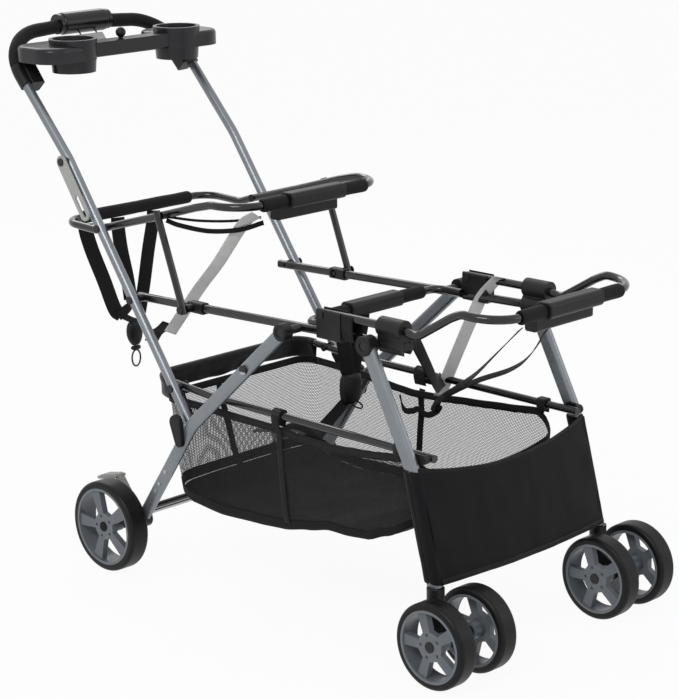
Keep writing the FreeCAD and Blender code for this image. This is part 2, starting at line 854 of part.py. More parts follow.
def storage_hook():
    top, low, lean = hook_points()
    x1 = -(handle_x + handle_od / 2 + 8)
    plate = belt([(top, hook_wide / 2), (low, hook_wide / 2)], x1 - hook_thick, x1)
    ahead = Vec(0, -math.cos(lean), -math.sin(lean))
    across = ahead.cross(Vec(1, 0, 0))
    centre = at(x1 - hook_thick - 1, low) - ahead * (hook_slot_long / 2 - 6)
    slot = Part.Face(stadium(centre, ahead, across, hook_slot_long, hook_slot_wide))
    plate = plate.cut(slot.extrude(Vec(hook_thick + 2, 0, 0)))
    return [plate.cut(rod_x(x1 - hook_thick - 1, x1 + 1, top, pin_bore))]


def hook_screw():
    top = hook_points()[0]
    outer = -(handle_x + handle_od / 2)
    shank = rod_x(outer - 8 - hook_thick - side_gap, outer + 4, top, pin_radius)
    head = rod_x(outer - 10 - hook_thick - side_gap, outer - 8 - hook_thick - side_gap, top,
                 pin_head_radius)
    boss = rod_x(outer - 8 + side_gap, outer + 4, top, pin_head_radius)
    tube = round_tube(handle_route, handle_od / 2, foot_below_pivot, foot_below_pivot + 400)
    return [shank.fuse([head, boss]).cut(tube)]


# Lower frame and basket
def lower_frame():
    tube = round_tube(lower_route, lower_od / 2)
    for sign in (-1, 1):
        centre = sign * lower_x
        tube = tube.cut(rod_x(centre - lower_od, centre + lower_od, lower_pivot, pin_bore))
    return [tube]


def lower_clips():
    """Clips on the side tubes that hold the webs and the front end plugs."""
    solids = []
    tube = round_tube(lower_route, lower_od / 2, 0, lower_route.length / 2)
    for y in (6.0, -290.0):
        share = (y - lower_front_y) / (lower_kink_y - lower_front_y)
        z = lower_front_z + share * (lower_kink_z - lower_front_z)
        clip = block(-lower_x - 10, -lower_x + 10, y - 9, y + 9, z - 10, z + 11, 6, "y")
        solids.append(clip.cut(tube))
    return both(solids)


def basket():
    """Open basket: flat floor that rises to the front, and four sides."""
    side = [(basket_rear_y, basket_top_z), (299, 166), (259, basket_floor_z),
            (107, basket_floor_z), (-50, 166), (-208, 187), (-326, 244), (-326, basket_top_z)]
    outer = side_plate(side, -basket_half, basket_half)
    w = basket_wall
    hollow = [(basket_rear_y - w, basket_top_z + 1), (299 - w, 166 + w), (259 - w, basket_floor_z + w),
              (107, basket_floor_z + w), (-50, 166 + w), (-208, 187 + w), (-326 + w, 244 + w),
              (-326 + w, basket_top_z + 1)]
    inner = side_plate(hollow, -basket_half + w, basket_half - w)
    tub = outer.cut(inner)
    sleeve_x = lower_x - lower_corner - 4
    rear = (lower_rear_y, lower_rear_z)
    sleeve = rod_x(-sleeve_x, sleeve_x, rear, lower_od / 2 + side_gap + 2)
    sleeve = sleeve.cut(rod_x(-sleeve_x - 1, sleeve_x + 1, rear, lower_od / 2 + side_gap))
    band = side_plate([(lower_rear_y - 2, lower_rear_z - 8.2), (lower_rear_y + 1, lower_rear_z - 8.2),
                       (basket_rear_y, basket_top_z - 6), (basket_rear_y - w, basket_top_z - 6)],
                      -sleeve_x, sleeve_x)
    return [tub.fuse([sleeve, band]).removeSplitter()]


# Rear legs, axle and brake
def rear_legs():
    leg = oval_tube(rear_leg_route, rear_leg_deep, rear_leg_wide)
    round_top = rod_x(-rear_leg_x - rear_leg_wide / 2, -rear_leg_x + rear_leg_wide / 2,
                      rear_leg_pivot, rear_leg_deep / 2)
    leg = leg.fuse(round_top).removeSplitter()
    leg = leg.cut(rod_x(-rear_leg_x - 20, -rear_leg_x + 20, rear_leg_pivot, pin_bore))
    return both([leg])


def leg_cap(route, point, x_mid, deep, wide):
    """Round plastic cap that wraps the top of a leg, open round the pivot pin."""
    outer = x_mid + wide / 2 + 4.0
    inner = x_mid - wide / 2 - 2.0
    shell = rod_x(-outer, -inner, point, deep / 2 + 2.5)
    shell = shell.makeFillet(2.0, [e for e in shell.Edges
                                   if e.Closed and abs(e.CenterOfMass.x + outer) < 0.01])
    leg = oval_tube(route, deep, wide).fuse(rod_x(-x_mid - wide / 2, -x_mid + wide / 2, point, deep / 2))
    shell = shell.cut([leg, rod_x(-outer - 1, -inner + 1, point, pin_head_radius + 0.5)])
    return shell.Solids


def rear_leg_caps():
    return both(leg_cap(rear_leg_route, rear_leg_pivot, rear_leg_x, rear_leg_deep, rear_leg_wide))


def front_leg_caps():
    return both(leg_cap(front_leg_route, front_leg_pivot, front_leg_x, front_leg_deep, front_leg_wide))


def leg_face_point(z):
    """Point on the centre line of the rear leg's straight runs at a height."""
    if z > rear_knee_z:
        share = (z - rear_knee_z) / (rear_leg_pivot[1] - rear_knee_z)
        return (rear_knee_y + share * (rear_leg_pivot_y - rear_knee_y), z)
    share = (rear_knee_z - z) / (rear_knee_z - rear_foot_z)
    return (rear_knee_y + share * (rear_foot_y - rear_knee_y), z)


def leg_rivets():
    face = -rear_leg_x - rear_leg_wide / 2
    solids = []
    for z in (217.0, 190.0, 173.0):
        solids.append(rod_x(face - 1.5, face, leg_face_point(z), 4.0))
    button = rod_x(face - 5, face, leg_face_point(455.0), 9.0)
    solids.append(button.makeFillet(1.5, [e for e in button.Edges
                                          if e.Closed and e.CenterOfMass.x < face - 4]))
    return both(solids)


def latch_housings():
    """Teardrop housings on the rear legs, over the handle's lower ends."""
    face = -rear_leg_x - rear_leg_wide / 2
    low = leg_face_point(286.0)
    high = on_handle(-foot_below_pivot + 6)
    shell = belt([(high, 15.0), (low, 10.0)], face - 9, face)
    outer_edges = [e for e in shell.Edges if abs(e.CenterOfMass.x - (face - 9)) < 0.01]
    shell = shell.makeFillet(3.0, outer_edges)
    return both([shell])


def axle_brackets():
    """Moulded brackets that join the legs to the axle and carry the brake bar."""
    foot = (rear_foot_y - 4, rear_foot_z + 6)
    x_out = rear_leg_x + rear_leg_wide / 2 + 1.6
    x_in = rear_leg_x - rear_leg_wide / 2 - bracket_lip
    body = belt([(foot, 17.0), (axle, 13.0)], -x_out, -x_in)
    body = body.fuse(rod_x(-x_out, -x_in, brake_axis, 10.0)).removeSplitter()
    body = body.cut(oval_tube(rear_leg_route, rear_leg_deep, rear_leg_wide))
    body = body.cut(rod_x(-x_out - 1, -x_in + 1, axle, axle_radius))
    bore = rod_x(-x_in - 8, -x_in + 1, brake_axis, brake_bar_od / 2 + running_fit)
    body = body.cut(bore)
    return both([max(body.Solids, key=lambda s: s.Volume)])


def axle_cap(x, side, centre):
    """Flat round cap on an axle's end, sunk in the face of the rim."""
    cap = rod_x(min(x, x + side * cap_high), max(x, x + side * cap_high), centre, cap_radius)
    return cap.makeFillet(0.8, [e for e in cap.Edges
                                if e.Closed and abs(e.CenterOfMass.x - x - side * cap_high) < 0.01])


def rear_axle():
    end = rear_wheel_x + rear_wheel_wide / 2 - spoke_inset + side_gap
    shaft = rod_x(-end - 1, end + 1, axle, axle_radius)
    return [shaft.fuse([axle_cap(sign * end, sign, axle) for sign in (-1, 1)])]


def brake_bar():
    x_in = rear_leg_x - rear_leg_wide / 2 - bracket_lip
    return [rod_x(-x_in - 7.5, x_in + 7.5, brake_axis, brake_bar_od / 2)]


def brake_pedals():
    """Foot pedals: a ribbed tread on an arm that is clamped to the brake bar."""
    bar = rod_x(-400, 400, brake_axis, brake_bar_od / 2)
    x0, x1 = -pedal_x - pedal_wide / 2, -pedal_x + pedal_wide / 2
    front = (pedal_front_y, pedal_front_z)
    rear = (pedal_rear_y, pedal_rear_z)
    tread = belt([(front, pedal_thick / 2), (rear, pedal_thick / 2)], x0, x1)
    arm = belt([(brake_axis, brake_bar_od / 2 + 3.5), (front, 5.0)], -pedal_x - 7, -pedal_x + 7)
    pedal = tread.fuse(arm)
    slope = (pedal_rear_z - pedal_front_z) / (pedal_rear_y - pedal_front_y)
    pitch = (pedal_rear_y - pedal_front_y) / 6
    for i in range(1, 6):
        y = pedal_front_y + i * pitch - 1.5
        z = pedal_front_z + slope * (y - pedal_front_y) + pedal_thick / 2
        pedal = pedal.fuse(Part.makeBox(x1 - x0, 3, 3, Vec(x0, y, z - 1.5)))
    return both([pedal.cut(bar)])


# Wheels
def tyre(x, centre, radius, wide, rim_radius):
    """Solid tyre with rounded shoulders, turned about the axle."""
    w = wide / 2
    shoulder = 7.0
    low = Vec(x - w, centre[0], centre[1] + rim_radius)
    dip = shoulder * (1 - math.sqrt(0.5))
    top = centre[1] + radius
    section = Part.Wire([
        Part.LineSegment(low, Vec(x - w, centre[0], top - shoulder)).toShape(),
        Part.Arc(Vec(x - w, centre[0], top - shoulder), Vec(x - w + dip, centre[0], top - dip),
                 Vec(x - w + shoulder, centre[0], top)).toShape(),
        Part.LineSegment(Vec(x - w + shoulder, centre[0], top),
                         Vec(x + w - shoulder, centre[0], top)).toShape(),
        Part.Arc(Vec(x + w - shoulder, centre[0], top), Vec(x + w - dip, centre[0], top - dip),
                 Vec(x + w, centre[0], top - shoulder)).toShape(),
        Part.LineSegment(Vec(x + w, centre[0], top - shoulder),
                         Vec(x + w, centre[0], centre[1] + rim_radius)).toShape(),
        Part.LineSegment(Vec(x + w, centre[0], centre[1] + rim_radius), low).toShape()])
    return Part.Face(section).revolve(at(x, centre), Vec(1, 0, 0), 360)


def rim(x, centre, wide, rim_radius, bore, side):
    """Five-spoke rim: outer ring, spokes near the outer face, a hub and a round recess in
    the root of each spoke."""
    w = wide / 2
    ring = rod_x(x - w, x + w, centre, rim_radius)
    ring = ring.cut(rod_x(x - w - 1, x + w + 1, centre, rim_radius - rim_wall))
    face = x + side * (w - spoke_inset)
    back = face - side * spoke_deep
    hub = rod_x(min(x - side * w, face), max(x - side * w, face), centre, hub_radius)
    plate = rod_x(min(face, back), max(face, back), centre, rim_radius - rim_wall + 0.5)
    inner_r = hub_radius + 11
    outer_r = rim_radius - rim_wall
    half_step = math.radians(180 / spoke_count)
    x0 = min(face, back) - 1
    cuts = []

    def polar(r, a):
        return at(x0, (centre[0] + r * math.cos(a), centre[1] + r * math.sin(a)))

    for i in range(spoke_count):
        turn = half_step * (2 * i + 1)
        a = half_step * window_out
        b = half_step * window_in
        window = Part.Wire([
            Part.LineSegment(polar(inner_r, turn - b), polar(outer_r, turn - a)).toShape(),
            Part.Arc(polar(outer_r, turn - a), polar(outer_r, turn), polar(outer_r, turn + a)).toShape(),
            Part.LineSegment(polar(outer_r, turn + a), polar(inner_r, turn + b)).toShape(),
            Part.Arc(polar(inner_r, turn + b), polar(inner_r - 1.5, turn),
                     polar(inner_r, turn - b)).toShape()])
        cuts.append(Part.Face(window).extrude(Vec(spoke_deep + 2, 0, 0)))
        root = (centre[0] + recess_at * math.cos(turn - half_step),
                centre[1] + recess_at * math.sin(turn - half_step))
        low, high = sorted((face + side, face - side * recess_deep))
        cuts.append(rod_x(low, high, root, recess_radius))
    wheel = ring.fuse([plate, hub]).removeSplitter().cut(cuts)
    return wheel.cut(rod_x(x - w - 5, x + w + 5, centre, bore))


def rear_wheel(sign):
    x = sign * rear_wheel_x
    rubber = tyre(x, axle, rear_wheel_radius, rear_wheel_wide, rear_rim_radius)
    wheel = rim(x, axle, rear_wheel_wide, rear_rim_radius, axle_radius + running_fit, sign)
    return rubber, wheel


def front_wheel(sign, side):
    x = sign * caster_x + side * twin_offset
    rubber = tyre(x, caster_axle, front_wheel_radius, front_wheel_wide, front_rim_radius)
    wheel = rim(x, caster_axle, front_wheel_wide, front_rim_radius,
                caster_axle_radius + running_fit, side)
    return rubber, wheel


# Front legs and casters
def front_legs():
    leg = oval_tube(front_leg_route, front_leg_deep, front_leg_wide)
    round_top = rod_x(-front_leg_x - front_leg_wide / 2, -front_leg_x + front_leg_wide / 2,
                      front_leg_pivot, front_leg_deep / 2)
    leg = leg.fuse(round_top).removeSplitter()
    leg = leg.cut(rod_x(-front_leg_x - 20, -front_leg_x + 20, front_leg_pivot, pin_bore))
    return both([leg])


def leg_brackets():
    """Plates on the front legs that reach forward to the lower frame's ends."""
    inner = front_leg_x - front_leg_wide / 2
    on_leg = (front_knee_y + 4, lower_front_z)
    end = (lower_front_y, lower_front_z)
    face = lower_x + lower_od / 2 + side_gap
    plate = belt([(on_leg, 9.0), (end, 8.0)], -inner, -inner + 5)
    stud = rod_x(-inner + 5, -face, end, pin_head_radius)
    return both([plate.fuse(stud)])


def caster_housings():
    ring_top = front_foot_z + 2
    housing = Part.makeCylinder(housing_radius, ring_top - housing_bottom_z,
                                Vec(-caster_x, caster_y + 3, housing_bottom_z))
    housing = housing.cut(oval_tube(front_leg_route, front_leg_deep, front_leg_wide))
    housing = max(housing.Solids, key=lambda s: s.Volume)
    bore = Part.makeCylinder(stem_radius + running_fit, 26.0,
                             Vec(-caster_x, caster_y, housing_bottom_z - 0.5))
    return both([housing.cut(bore)])


def caster_fork(sign):
    x = sign * caster_x
    top_z = housing_bottom_z - side_gap
    stem = Part.makeCylinder(stem_radius, 24.0, Vec(x, caster_y, top_z))
    disc = Part.makeCylinder(housing_radius, 10.0, Vec(x, caster_y, top_z - 10.0))
    top = (caster_y - 2, top_z - 20.0)
    body = belt([(top, 13.0), (caster_axle, 14.0)], x - fork_wide / 2, x + fork_wide / 2)
    hub_half = twin_offset - front_wheel_wide / 2 - side_gap
    hub = rod_x(x - hub_half, x + hub_half, caster_axle, 11.0)
    fork = body.fuse([disc, stem, hub]).removeSplitter()
    return [fork.cut(rod_x(x - hub_half - 1, x + hub_half + 1, caster_axle, caster_axle_radius))]


def caster_axle_rod(sign):
    x = sign * caster_x
    end = twin_offset + front_wheel_wide / 2 - spoke_inset + side_gap
    shaft = rod_x(x - end - 1, x + end + 1, caster_axle, caster_axle_radius)
    return [shaft.fuse([axle_cap(x + side * end, side, caster_axle) for side in (-1, 1)])]


def front_panel():
    """Fabric panel stretched between the front legs, with a sleeve on each leg."""
    foot = Vec(-front_leg_x, front_foot_y, front_foot_z)
    knee = Vec(-front_leg_x, front_knee_y, front_knee_z)
    ahead = (foot - knee).normalize()

    def on_leg(z):
        return knee + ahead * ((z - knee.z) / ahead.z)

    across = Vec(1, 0, 0)
    deep_way = ahead.cross(across)
    low, high = on_leg(panel_bottom_z), on_leg(panel_top_z - 5)
    outer = Part.Face(stadium(low, deep_way, across, front_leg_deep + 5, front_leg_wide + 5))
    inner = Part.Face(stadium(low - (high - low), deep_way, across, front_leg_deep + 0.8,
                              front_leg_wide + 0.8))
    sleeve = outer.extrude(high - low).cut(inner.extrude((high - low) * 3))

    def line(z):
        y = on_leg(z).y - (front_leg_deep / 2 + 1.2) / abs(ahead.z)
        x = front_leg_x
        t = panel_thick
        return Part.Wire([
            Part.Arc(Vec(-x, y, z), Vec(0, y - panel_bow, z), Vec(x, y, z)).toShape(),
            Part.LineSegment(Vec(x, y, z), Vec(x, y - t, z)).toShape(),
            Part.Arc(Vec(x, y - t, z), Vec(0, y - t - panel_bow, z), Vec(-x, y - t, z)).toShape(),
            Part.LineSegment(Vec(-x, y - t, z), Vec(-x, y, z)).toShape()])

    sheet = Part.makeLoft([line(panel_bottom_z), line(panel_top_z)], True, True)
    y = front_foot_y - 60
    corner = Vec(-front_leg_x, y, panel_top_z)
    above = Part.Wire([
        Part.Arc(corner, Vec(0, y, panel_top_z - panel_dip), Vec(front_leg_x, y, panel_top_z)).toShape(),
        Part.LineSegment(Vec(front_leg_x, y, panel_top_z), Vec(front_leg_x, y, panel_top_z + 9)).toShape(),
        Part.LineSegment(Vec(front_leg_x, y, panel_top_z + 9), corner + Vec(0, 0, 9)).toShape(),
        Part.LineSegment(corner + Vec(0, 0, 9), corner).toShape()])
    sheet = sheet.cut(Part.Face(above).extrude(Vec(0, 120, 0)))
    leg = front_legs()[0]
    return [sheet.fuse([sleeve, mirrored(sleeve)]).cut([leg, mirrored(leg)])]


# Hinged front bar
def front_bar_tube():
    tube = round_tube(front_bar_route, bar_od / 2)
    for sign in (-1, 1):
        centre = sign * bar_x
        tube = tube.cut(rod_x(centre - bar_od, centre + bar_od, bar_pivot, pin_bore))
    return [tube]


def front_bar_parts():
    tube = round_tube(front_bar_route, bar_od / 2)
    foams = foam_pair(front_bar_route, cover_half + 1, foam_end, foam_radius, tube)
    cover = bar_cover((bar_front_y, bar_front_z), cover_half, tube)
    box = strap_box(bar_front_y + 24, bar_front_z - 8, box_half).cut(cover)
    clamps = []
    y0, y1 = clamp_front_y, clamp_front_y + clamp_long
    bar_z = bar_pivot_z + 1.5
    upper = Part.makeCylinder(clamp_radius, y1 - y0, Vec(-bar_x, y0, bar_z), Vec(0, 1, 0))
    rail_mid = rail_z((y0 + y1) / 2)
    lower = Part.makeCylinder(clamp_radius - 1, y1 - y0, Vec(-rail_x - 1, y0, rail_mid), Vec(0, 1, 0))
    neck = block(-bar_x - 11, -bar_x + 11, y0, y1, rail_mid, bar_z)
    mouth_half = rail_wide / 2 + 0.5
    roof = rail_z(y0) + rail_high / 2 + 0.6
    mouth = block(-rail_x - mouth_half, -rail_x + mouth_half, y0 - 1, y1 + 1, rail_mid - 60, roof)
    clamp = upper.fuse([lower, neck]).cut(mouth).cut(tube)
    clamps = both([max(clamp.Solids, key=lambda s: s.Volume)])
    return foams, [cover], [box], clamps


# Straps and buckles
def rear_harness():
    """Straps that hang from the ring's rear cross tube to one buckle."""
    y = ring_rear_y
    top = ring_rear_z - foam_radius - side_gap
    side = Vec(1, 0, 0)
    buckle_top = 452.0
    straps = []
    for x_top, x_low, z_low in ((-132, -62, 430), (-51, -34, 462), (38, -4, 436)):
        straps.append(ribbon([Vec(x_top, y, top), Vec(x_low, y, z_low)], side, strap_wide, strap_thick))
    link = block(-66, -4, y - 3, y + 3, 424, 436, 2)
    body = block(-36, -4, y - 7, y + 7, 372, 424, 6, "y")
    ring = Part.makeTorus(11, 1.6, Vec(-17, y, 352), Vec(0, 1, 0))
    collar = block(-25, -9, y - 4, y + 4, 362, 372)
    harness = straps[0].fuse(straps[1:] + [link, body, collar, ring])
    return [max(harness.Solids, key=lambda s: s.Volume)]


def front_harness():
    """Strap and buckle pouch that hang from the front seat's rear bar."""
    y = seat_bar_y
    top = seat_bar_z - cover_high + cover_deep / 2 - side_gap
    side = Vec(1, 0, 0)
    strap = ribbon([Vec(-66, y, top), Vec(-62, y, 425)], side, 20.0, strap_thick)
    pouch = block(-82, -40, y - 9, y + 9, 374, 428, 9, "y")
    tail = ribbon([Vec(-66, y, 378), Vec(-96, y + 2, 350)], side, strap_wide, strap_thick)
    return [strap.fuse([pouch, tail])]


def save(name, solids, shift):
    shapes = []
    for solid in solids:
        moved = solid.copy()
        moved.translate(shift)
        shapes.append(moved)
    whole = shapes[0] if len(shapes) == 1 else Part.makeCompound(shapes)
    whole.exportStep("parts/%s.step" % name)


def build():
    """All nodes of the frame, each a list of solids."""
    ring_foams, ring_cover, ring_box = ring_parts()
    bar_foams, bar_cover_solid, bar_box, clamps = front_bar_parts()
    seat_tube = front_seat_bar()[0]
    seat_foams = foam_pair(seat_bar_route, seat_cover_half + 1, foam_end, foam_radius, seat_tube)
    nodes = {
        "upper_rails": upper_rails(),
        "rail_fittings": rail_fittings(),
        "frame_pins": frame_pins(),
        "front_seat_bar": [seat_tube],
        "front_seat_foam": seat_foams,
        "front_seat_cover": [bar_cover((seat_bar_y, seat_bar_z), seat_cover_half, seat_tube)],
        "front_harness": front_harness(),
        "handle_tube": handle_tube(),
        "handle_bolts": handle_bolts() + hook_screw() + trigger_rails(),
        "handle_collars": handle_collars(),
        "handle_grips": handle_grips(),
        "handle_console": handle_console(),
        "fold_trigger": fold_trigger(),
        "drinks_tray": drinks_tray(),
        "tray_clamps": tray_clamps() + tray_knob(),
        "handle_latches": handle_latches(),
        "storage_hook": storage_hook(),
        "lower_frame": lower_frame(),
        "lower_clips": lower_clips(),
        "basket": basket(),
        "rear_legs": rear_legs(),
        "rear_leg_caps": rear_leg_caps(),
        "leg_rivets": leg_rivets(),
        "latch_housings": latch_housings(),
        "axle_brackets": axle_brackets(),
        "rear_axle": rear_axle(),
        "brake_bar": brake_bar(),
        "brake_pedals": brake_pedals(),
        "ring_tube": ring_tube() + post_studs(),
        "ring_foam": ring_foams,
        "ring_cover": ring_cover,
        "ring_strap_box": ring_box,
        "rear_harness": rear_harness(),
        "rear_posts": rear_posts(),
        "front_legs": front_legs(),
        "front_leg_caps": front_leg_caps(),
        "leg_brackets": leg_brackets(),
        "caster_housings": caster_housings(),
        "front_panel": front_panel(),
        "front_bar_tube": front_bar_tube(),
        "front_bar_foam": bar_foams,
        "front_bar_cover": bar_cover_solid,
        "front_bar_strap_box": bar_box,
        "front_bar_clamps": clamps,
    }
    for name, sign in (("left", -1), ("right", 1)):
        rubber, wheel = rear_wheel(sign)
        nodes["rear_tyre_%s" % name] = [rubber]
        nodes["rear_rim_%s" % name] = [wheel]
        nodes["caster_fork_%s" % name] = caster_fork(sign)
        nodes["caster_axle_%s" % name] = caster_axle_rod(sign)
        for place, side in (("outer", sign), ("inner", -sign)):
            rubber, wheel = front_wheel(sign, side)
            nodes["front_tyre_%s_%s" % (name, place)] = [rubber]
            nodes["front_rim_%s_%s" % (name, place)] = [wheel]
    return nodes


os.makedirs("parts", exist_ok=True)
model = build()
front_end = min(bar_front_y - cover_deep / 2, caster_axle[0] - front_wheel_radius)
rear_end = on_loop(loop_top_up)[0] + console_radius
origin_shift = Vec(0, -(front_end + rear_end) / 2, 0)
for node_name, node_solids in model.items():
    save(node_name, node_solids, origin_shift)
print("nodes", len(model), "length", round(rear_end - front_end, 2), "shift", origin_shift.y)
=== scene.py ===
import json
import math

import bpy
from mathutils import Matrix, Vector, noise

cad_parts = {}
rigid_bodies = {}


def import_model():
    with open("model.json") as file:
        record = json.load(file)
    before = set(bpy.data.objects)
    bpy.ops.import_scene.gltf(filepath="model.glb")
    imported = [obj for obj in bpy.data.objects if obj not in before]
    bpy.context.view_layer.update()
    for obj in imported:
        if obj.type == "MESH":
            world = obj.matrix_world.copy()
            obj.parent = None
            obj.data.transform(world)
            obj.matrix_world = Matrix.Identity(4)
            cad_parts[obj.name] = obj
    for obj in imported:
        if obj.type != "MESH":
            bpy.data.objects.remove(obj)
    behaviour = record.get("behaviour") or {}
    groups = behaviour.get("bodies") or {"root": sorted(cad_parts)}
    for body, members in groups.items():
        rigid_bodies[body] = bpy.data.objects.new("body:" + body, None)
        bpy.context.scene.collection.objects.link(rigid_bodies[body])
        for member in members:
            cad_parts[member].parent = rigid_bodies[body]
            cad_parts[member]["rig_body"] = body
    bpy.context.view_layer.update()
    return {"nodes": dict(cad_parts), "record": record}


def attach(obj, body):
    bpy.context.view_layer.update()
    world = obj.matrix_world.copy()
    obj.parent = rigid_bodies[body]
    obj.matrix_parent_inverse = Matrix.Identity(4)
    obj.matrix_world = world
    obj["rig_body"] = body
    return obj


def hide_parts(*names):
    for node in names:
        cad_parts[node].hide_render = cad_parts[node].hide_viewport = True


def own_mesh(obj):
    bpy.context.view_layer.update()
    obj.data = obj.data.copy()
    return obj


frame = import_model()
nodes = frame["nodes"]
scene = bpy.context.scene
scene.view_settings.view_transform = "Standard"
print("frame loaded:", len(nodes), "nodes")

# Places are written in millimetres as in the side drawing, whose Y zero is near the middle
drawing = {"scale": 0.001, "slide": -127.807}


def spot(x, y, z):
    return Vector((x, y + drawing["slide"], z)) * drawing["scale"]


def mm(value):
    return value * drawing["scale"]


camera = {
    "place": (-2898, -2837, 1523),
    "turn": 45.31,      # degrees from straight ahead
    "down": 14.81,
    "roll": -0.82,
    "focal": 2286,      # pixels
    "centre": (344, 351),
    "width": 679,
    "height": 699,
}


def makeCamera(c):
    turn, down, roll = (math.radians(c[k]) for k in ("turn", "down", "roll"))
    ahead = Vector((math.cos(down) * math.sin(turn), math.cos(down) * math.cos(turn), -math.sin(down)))
    right = Vector((math.cos(turn), -math.sin(turn), 0))
    up = right.cross(ahead)
    right, up = right * math.cos(roll) + up * math.sin(roll), up * math.cos(roll) - right * math.sin(roll)
    data = bpy.data.cameras.new("camera")
    eye = bpy.data.objects.new("camera", data)
    scene.collection.objects.link(eye)
    facing = Matrix((right, up, -ahead)).transposed().to_4x4()
    eye.matrix_world = Matrix.Translation(spot(*c["place"])) @ facing
    longSide = max(c["width"], c["height"])
    data.lens = c["focal"] * data.sensor_width / longSide
    data.shift_x = (c["width"] / 2 - c["centre"][0]) / longSide
    data.shift_y = (c["centre"][1] - c["height"] / 2) / longSide
    data.clip_end = 50
    scene.camera = eye


makeCamera(camera)


class Wire:
    # one output of a node, usable in plain sums
    def __init__(self, graph, socket):
        self.graph = graph
        self.socket = socket

    def calc(self, operation, *others):
        return self.graph.maths(operation, self, *others)

    def __add__(self, other):
        return self.calc("ADD", other)

    def __sub__(self, other):
        return self.calc("SUBTRACT", other)

    def __rsub__(self, other):
        return self.graph.maths("SUBTRACT", other, self)

    def __mul__(self, other):
        return self.calc("MULTIPLY", other)

    def __truediv__(self, other):
        return self.calc("DIVIDE", other)

    def __rtruediv__(self, other):
        return self.graph.maths("DIVIDE", other, self)

    def __gt__(self, other):
        return self.calc("GREATER_THAN", other)

    def __lt__(self, other):
        return self.calc("LESS_THAN", other)

    __radd__ = __add__
    __rmul__ = __mul__


class Graph:
    # the nodes of a material or of the world
    def __init__(self, tree):
        self.tree = tree

    def node(self, kind, settings=None, sockets=None, out=0):
        made = self.tree.nodes.new(kind)
        for key, value in (settings or {}).items():
            setattr(made, key, value)
        for key, value in (sockets or {}).items():
            if isinstance(value, Wire):
                self.join(value, made.inputs[key])
            else:
                made.inputs[key].default_value = value
        if isinstance(out, tuple):
            return [Wire(self, made.outputs[each]) for each in out]
        return Wire(self, made.outputs[out])

    def join(self, wire, socket):
        self.tree.links.new(wire.socket, socket)

    def maths(self, operation, *values):
        return self.node("ShaderNodeMath", {"operation": operation}, dict(enumerate(values)))

    def seen(self):
        # 1 for what the camera sees, straight, in gloss or through glass
        straight, gloss, glass = self.node("ShaderNodeLightPath", out=("Is Camera Ray", "Is Glossy Ray",
                                                                       "Is Transmission Ray"))
        return straight.calc("MAXIMUM", gloss).calc("MAXIMUM", glass)


class Paint(Graph):
    def __init__(self, name, **fixed):
        self.material = bpy.data.materials.new(name)
        self.material.use_nodes = True
        super().__init__(self.material.node_tree)
        self.shader = self.tree.nodes["Principled BSDF"]
        for socket, value in fixed.items():
            self.shader.inputs[socket.replace("_", " ")].default_value = value

    def feed(self, socket, wire):
        self.join(wire, self.shader.inputs[socket])

    def coords(self):
        return self.node("ShaderNodeTexCoord", out="Object")

    def lay(self):
        # distances across and along a piece of cloth, stored on its points
        return self.node("ShaderNodeAttribute", {"attribute_name": "lay"}, out="Vector")

    def split(self, vector):
        return self.node("ShaderNodeSeparateXYZ", None, {0: vector}, out=(0, 1, 2))

    def grain(self, scale, detail=3.0, roughness=0.5, where=None):
        return self.node("ShaderNodeTexNoise", None, {"Vector": where or self.coords(), "Scale": scale,
                                                      "Detail": detail, "Roughness": roughness})

    def blend(self, factor, first, second):
        return self.node("ShaderNodeMix", {"data_type": "RGBA"},
                         {0: factor, 6: first if isinstance(first, Wire) else (*first, 1),
                          7: second if isinstance(second, Wire) else (*second, 1)}, out=2)

    def span(self, value, low, high, toLow, toHigh):
        return self.node("ShaderNodeMapRange", None, {"Value": value, "From Min": low, "From Max": high,
                                                      "To Min": toLow, "To Max": toHigh})

    def bump(self, height, distance, strength=1.0, soften=None):
        sockets = {"Height": height, "Distance": distance, "Strength": strength}
        if soften:
            sockets["Normal"] = self.node("ShaderNodeBevel", {"samples": 4}, {"Radius": soften}, out="Normal")
        self.feed("Normal", self.node("ShaderNodeBump", None, sockets, out="Normal"))


def tubePaint(name, colour, metallic, rough, coat):
    # powder coat: fine orange peel, a little dust and small rub marks
    p = Paint(name, Metallic=metallic, Coat_Roughness=0.1, Specular_IOR_Level=0.3)
    dust = p.grain(7.0, 4.0, 0.6)
    marks = p.span(p.grain(95.0, 5.0, 0.75), 0.62, 0.72, 0.0, 1.0)
    peel = p.grain(900.0, 2.0)
    pale = tuple(c * 1.25 + 0.003 for c in colour)
    p.feed("Base Color", p.blend(p.span(dust, 0.35, 0.7, 0.0, 1.0), colour, pale))
    p.feed("Roughness", rough + 0.1 * (dust - 0.5) + 0.1 * marks)
    p.feed("Coat Weight", coat - 0.5 * coat * marks)
    p.bump(peel + 0.4 * marks, 0.00005, 1.0, 0.0006)
    return p.material


def plasticPaint(name, colour, rough, pebble, depth, gloss=0.35):
    # moulded plastic with a fine texture and paler worn edges
    p = Paint(name, Specular_IOR_Level=gloss)
    broad = p.grain(11.0, 3.0, 0.6)
    fine = p.grain(pebble, 3.0, 0.7)
    pale = tuple(c * 1.25 + 0.002 for c in colour)
    wear = p.node("ShaderNodeNewGeometry", out="Pointiness")
    worn = p.span(wear, 0.53, 0.6, 0.0, 0.6)
    tone = p.blend(p.span(broad, 0.3, 0.75, 0.0, 1.0), colour, pale)
    p.feed("Base Color", p.blend(worn, tone, tuple(min(1, c * 1.6 + 0.008) for c in colour)))
    p.feed("Roughness", rough + 0.16 * (broad - 0.5) + 0.1 * (fine - 0.5))
    p.bump(fine, depth, 0.6, 0.0008)
    return p.material


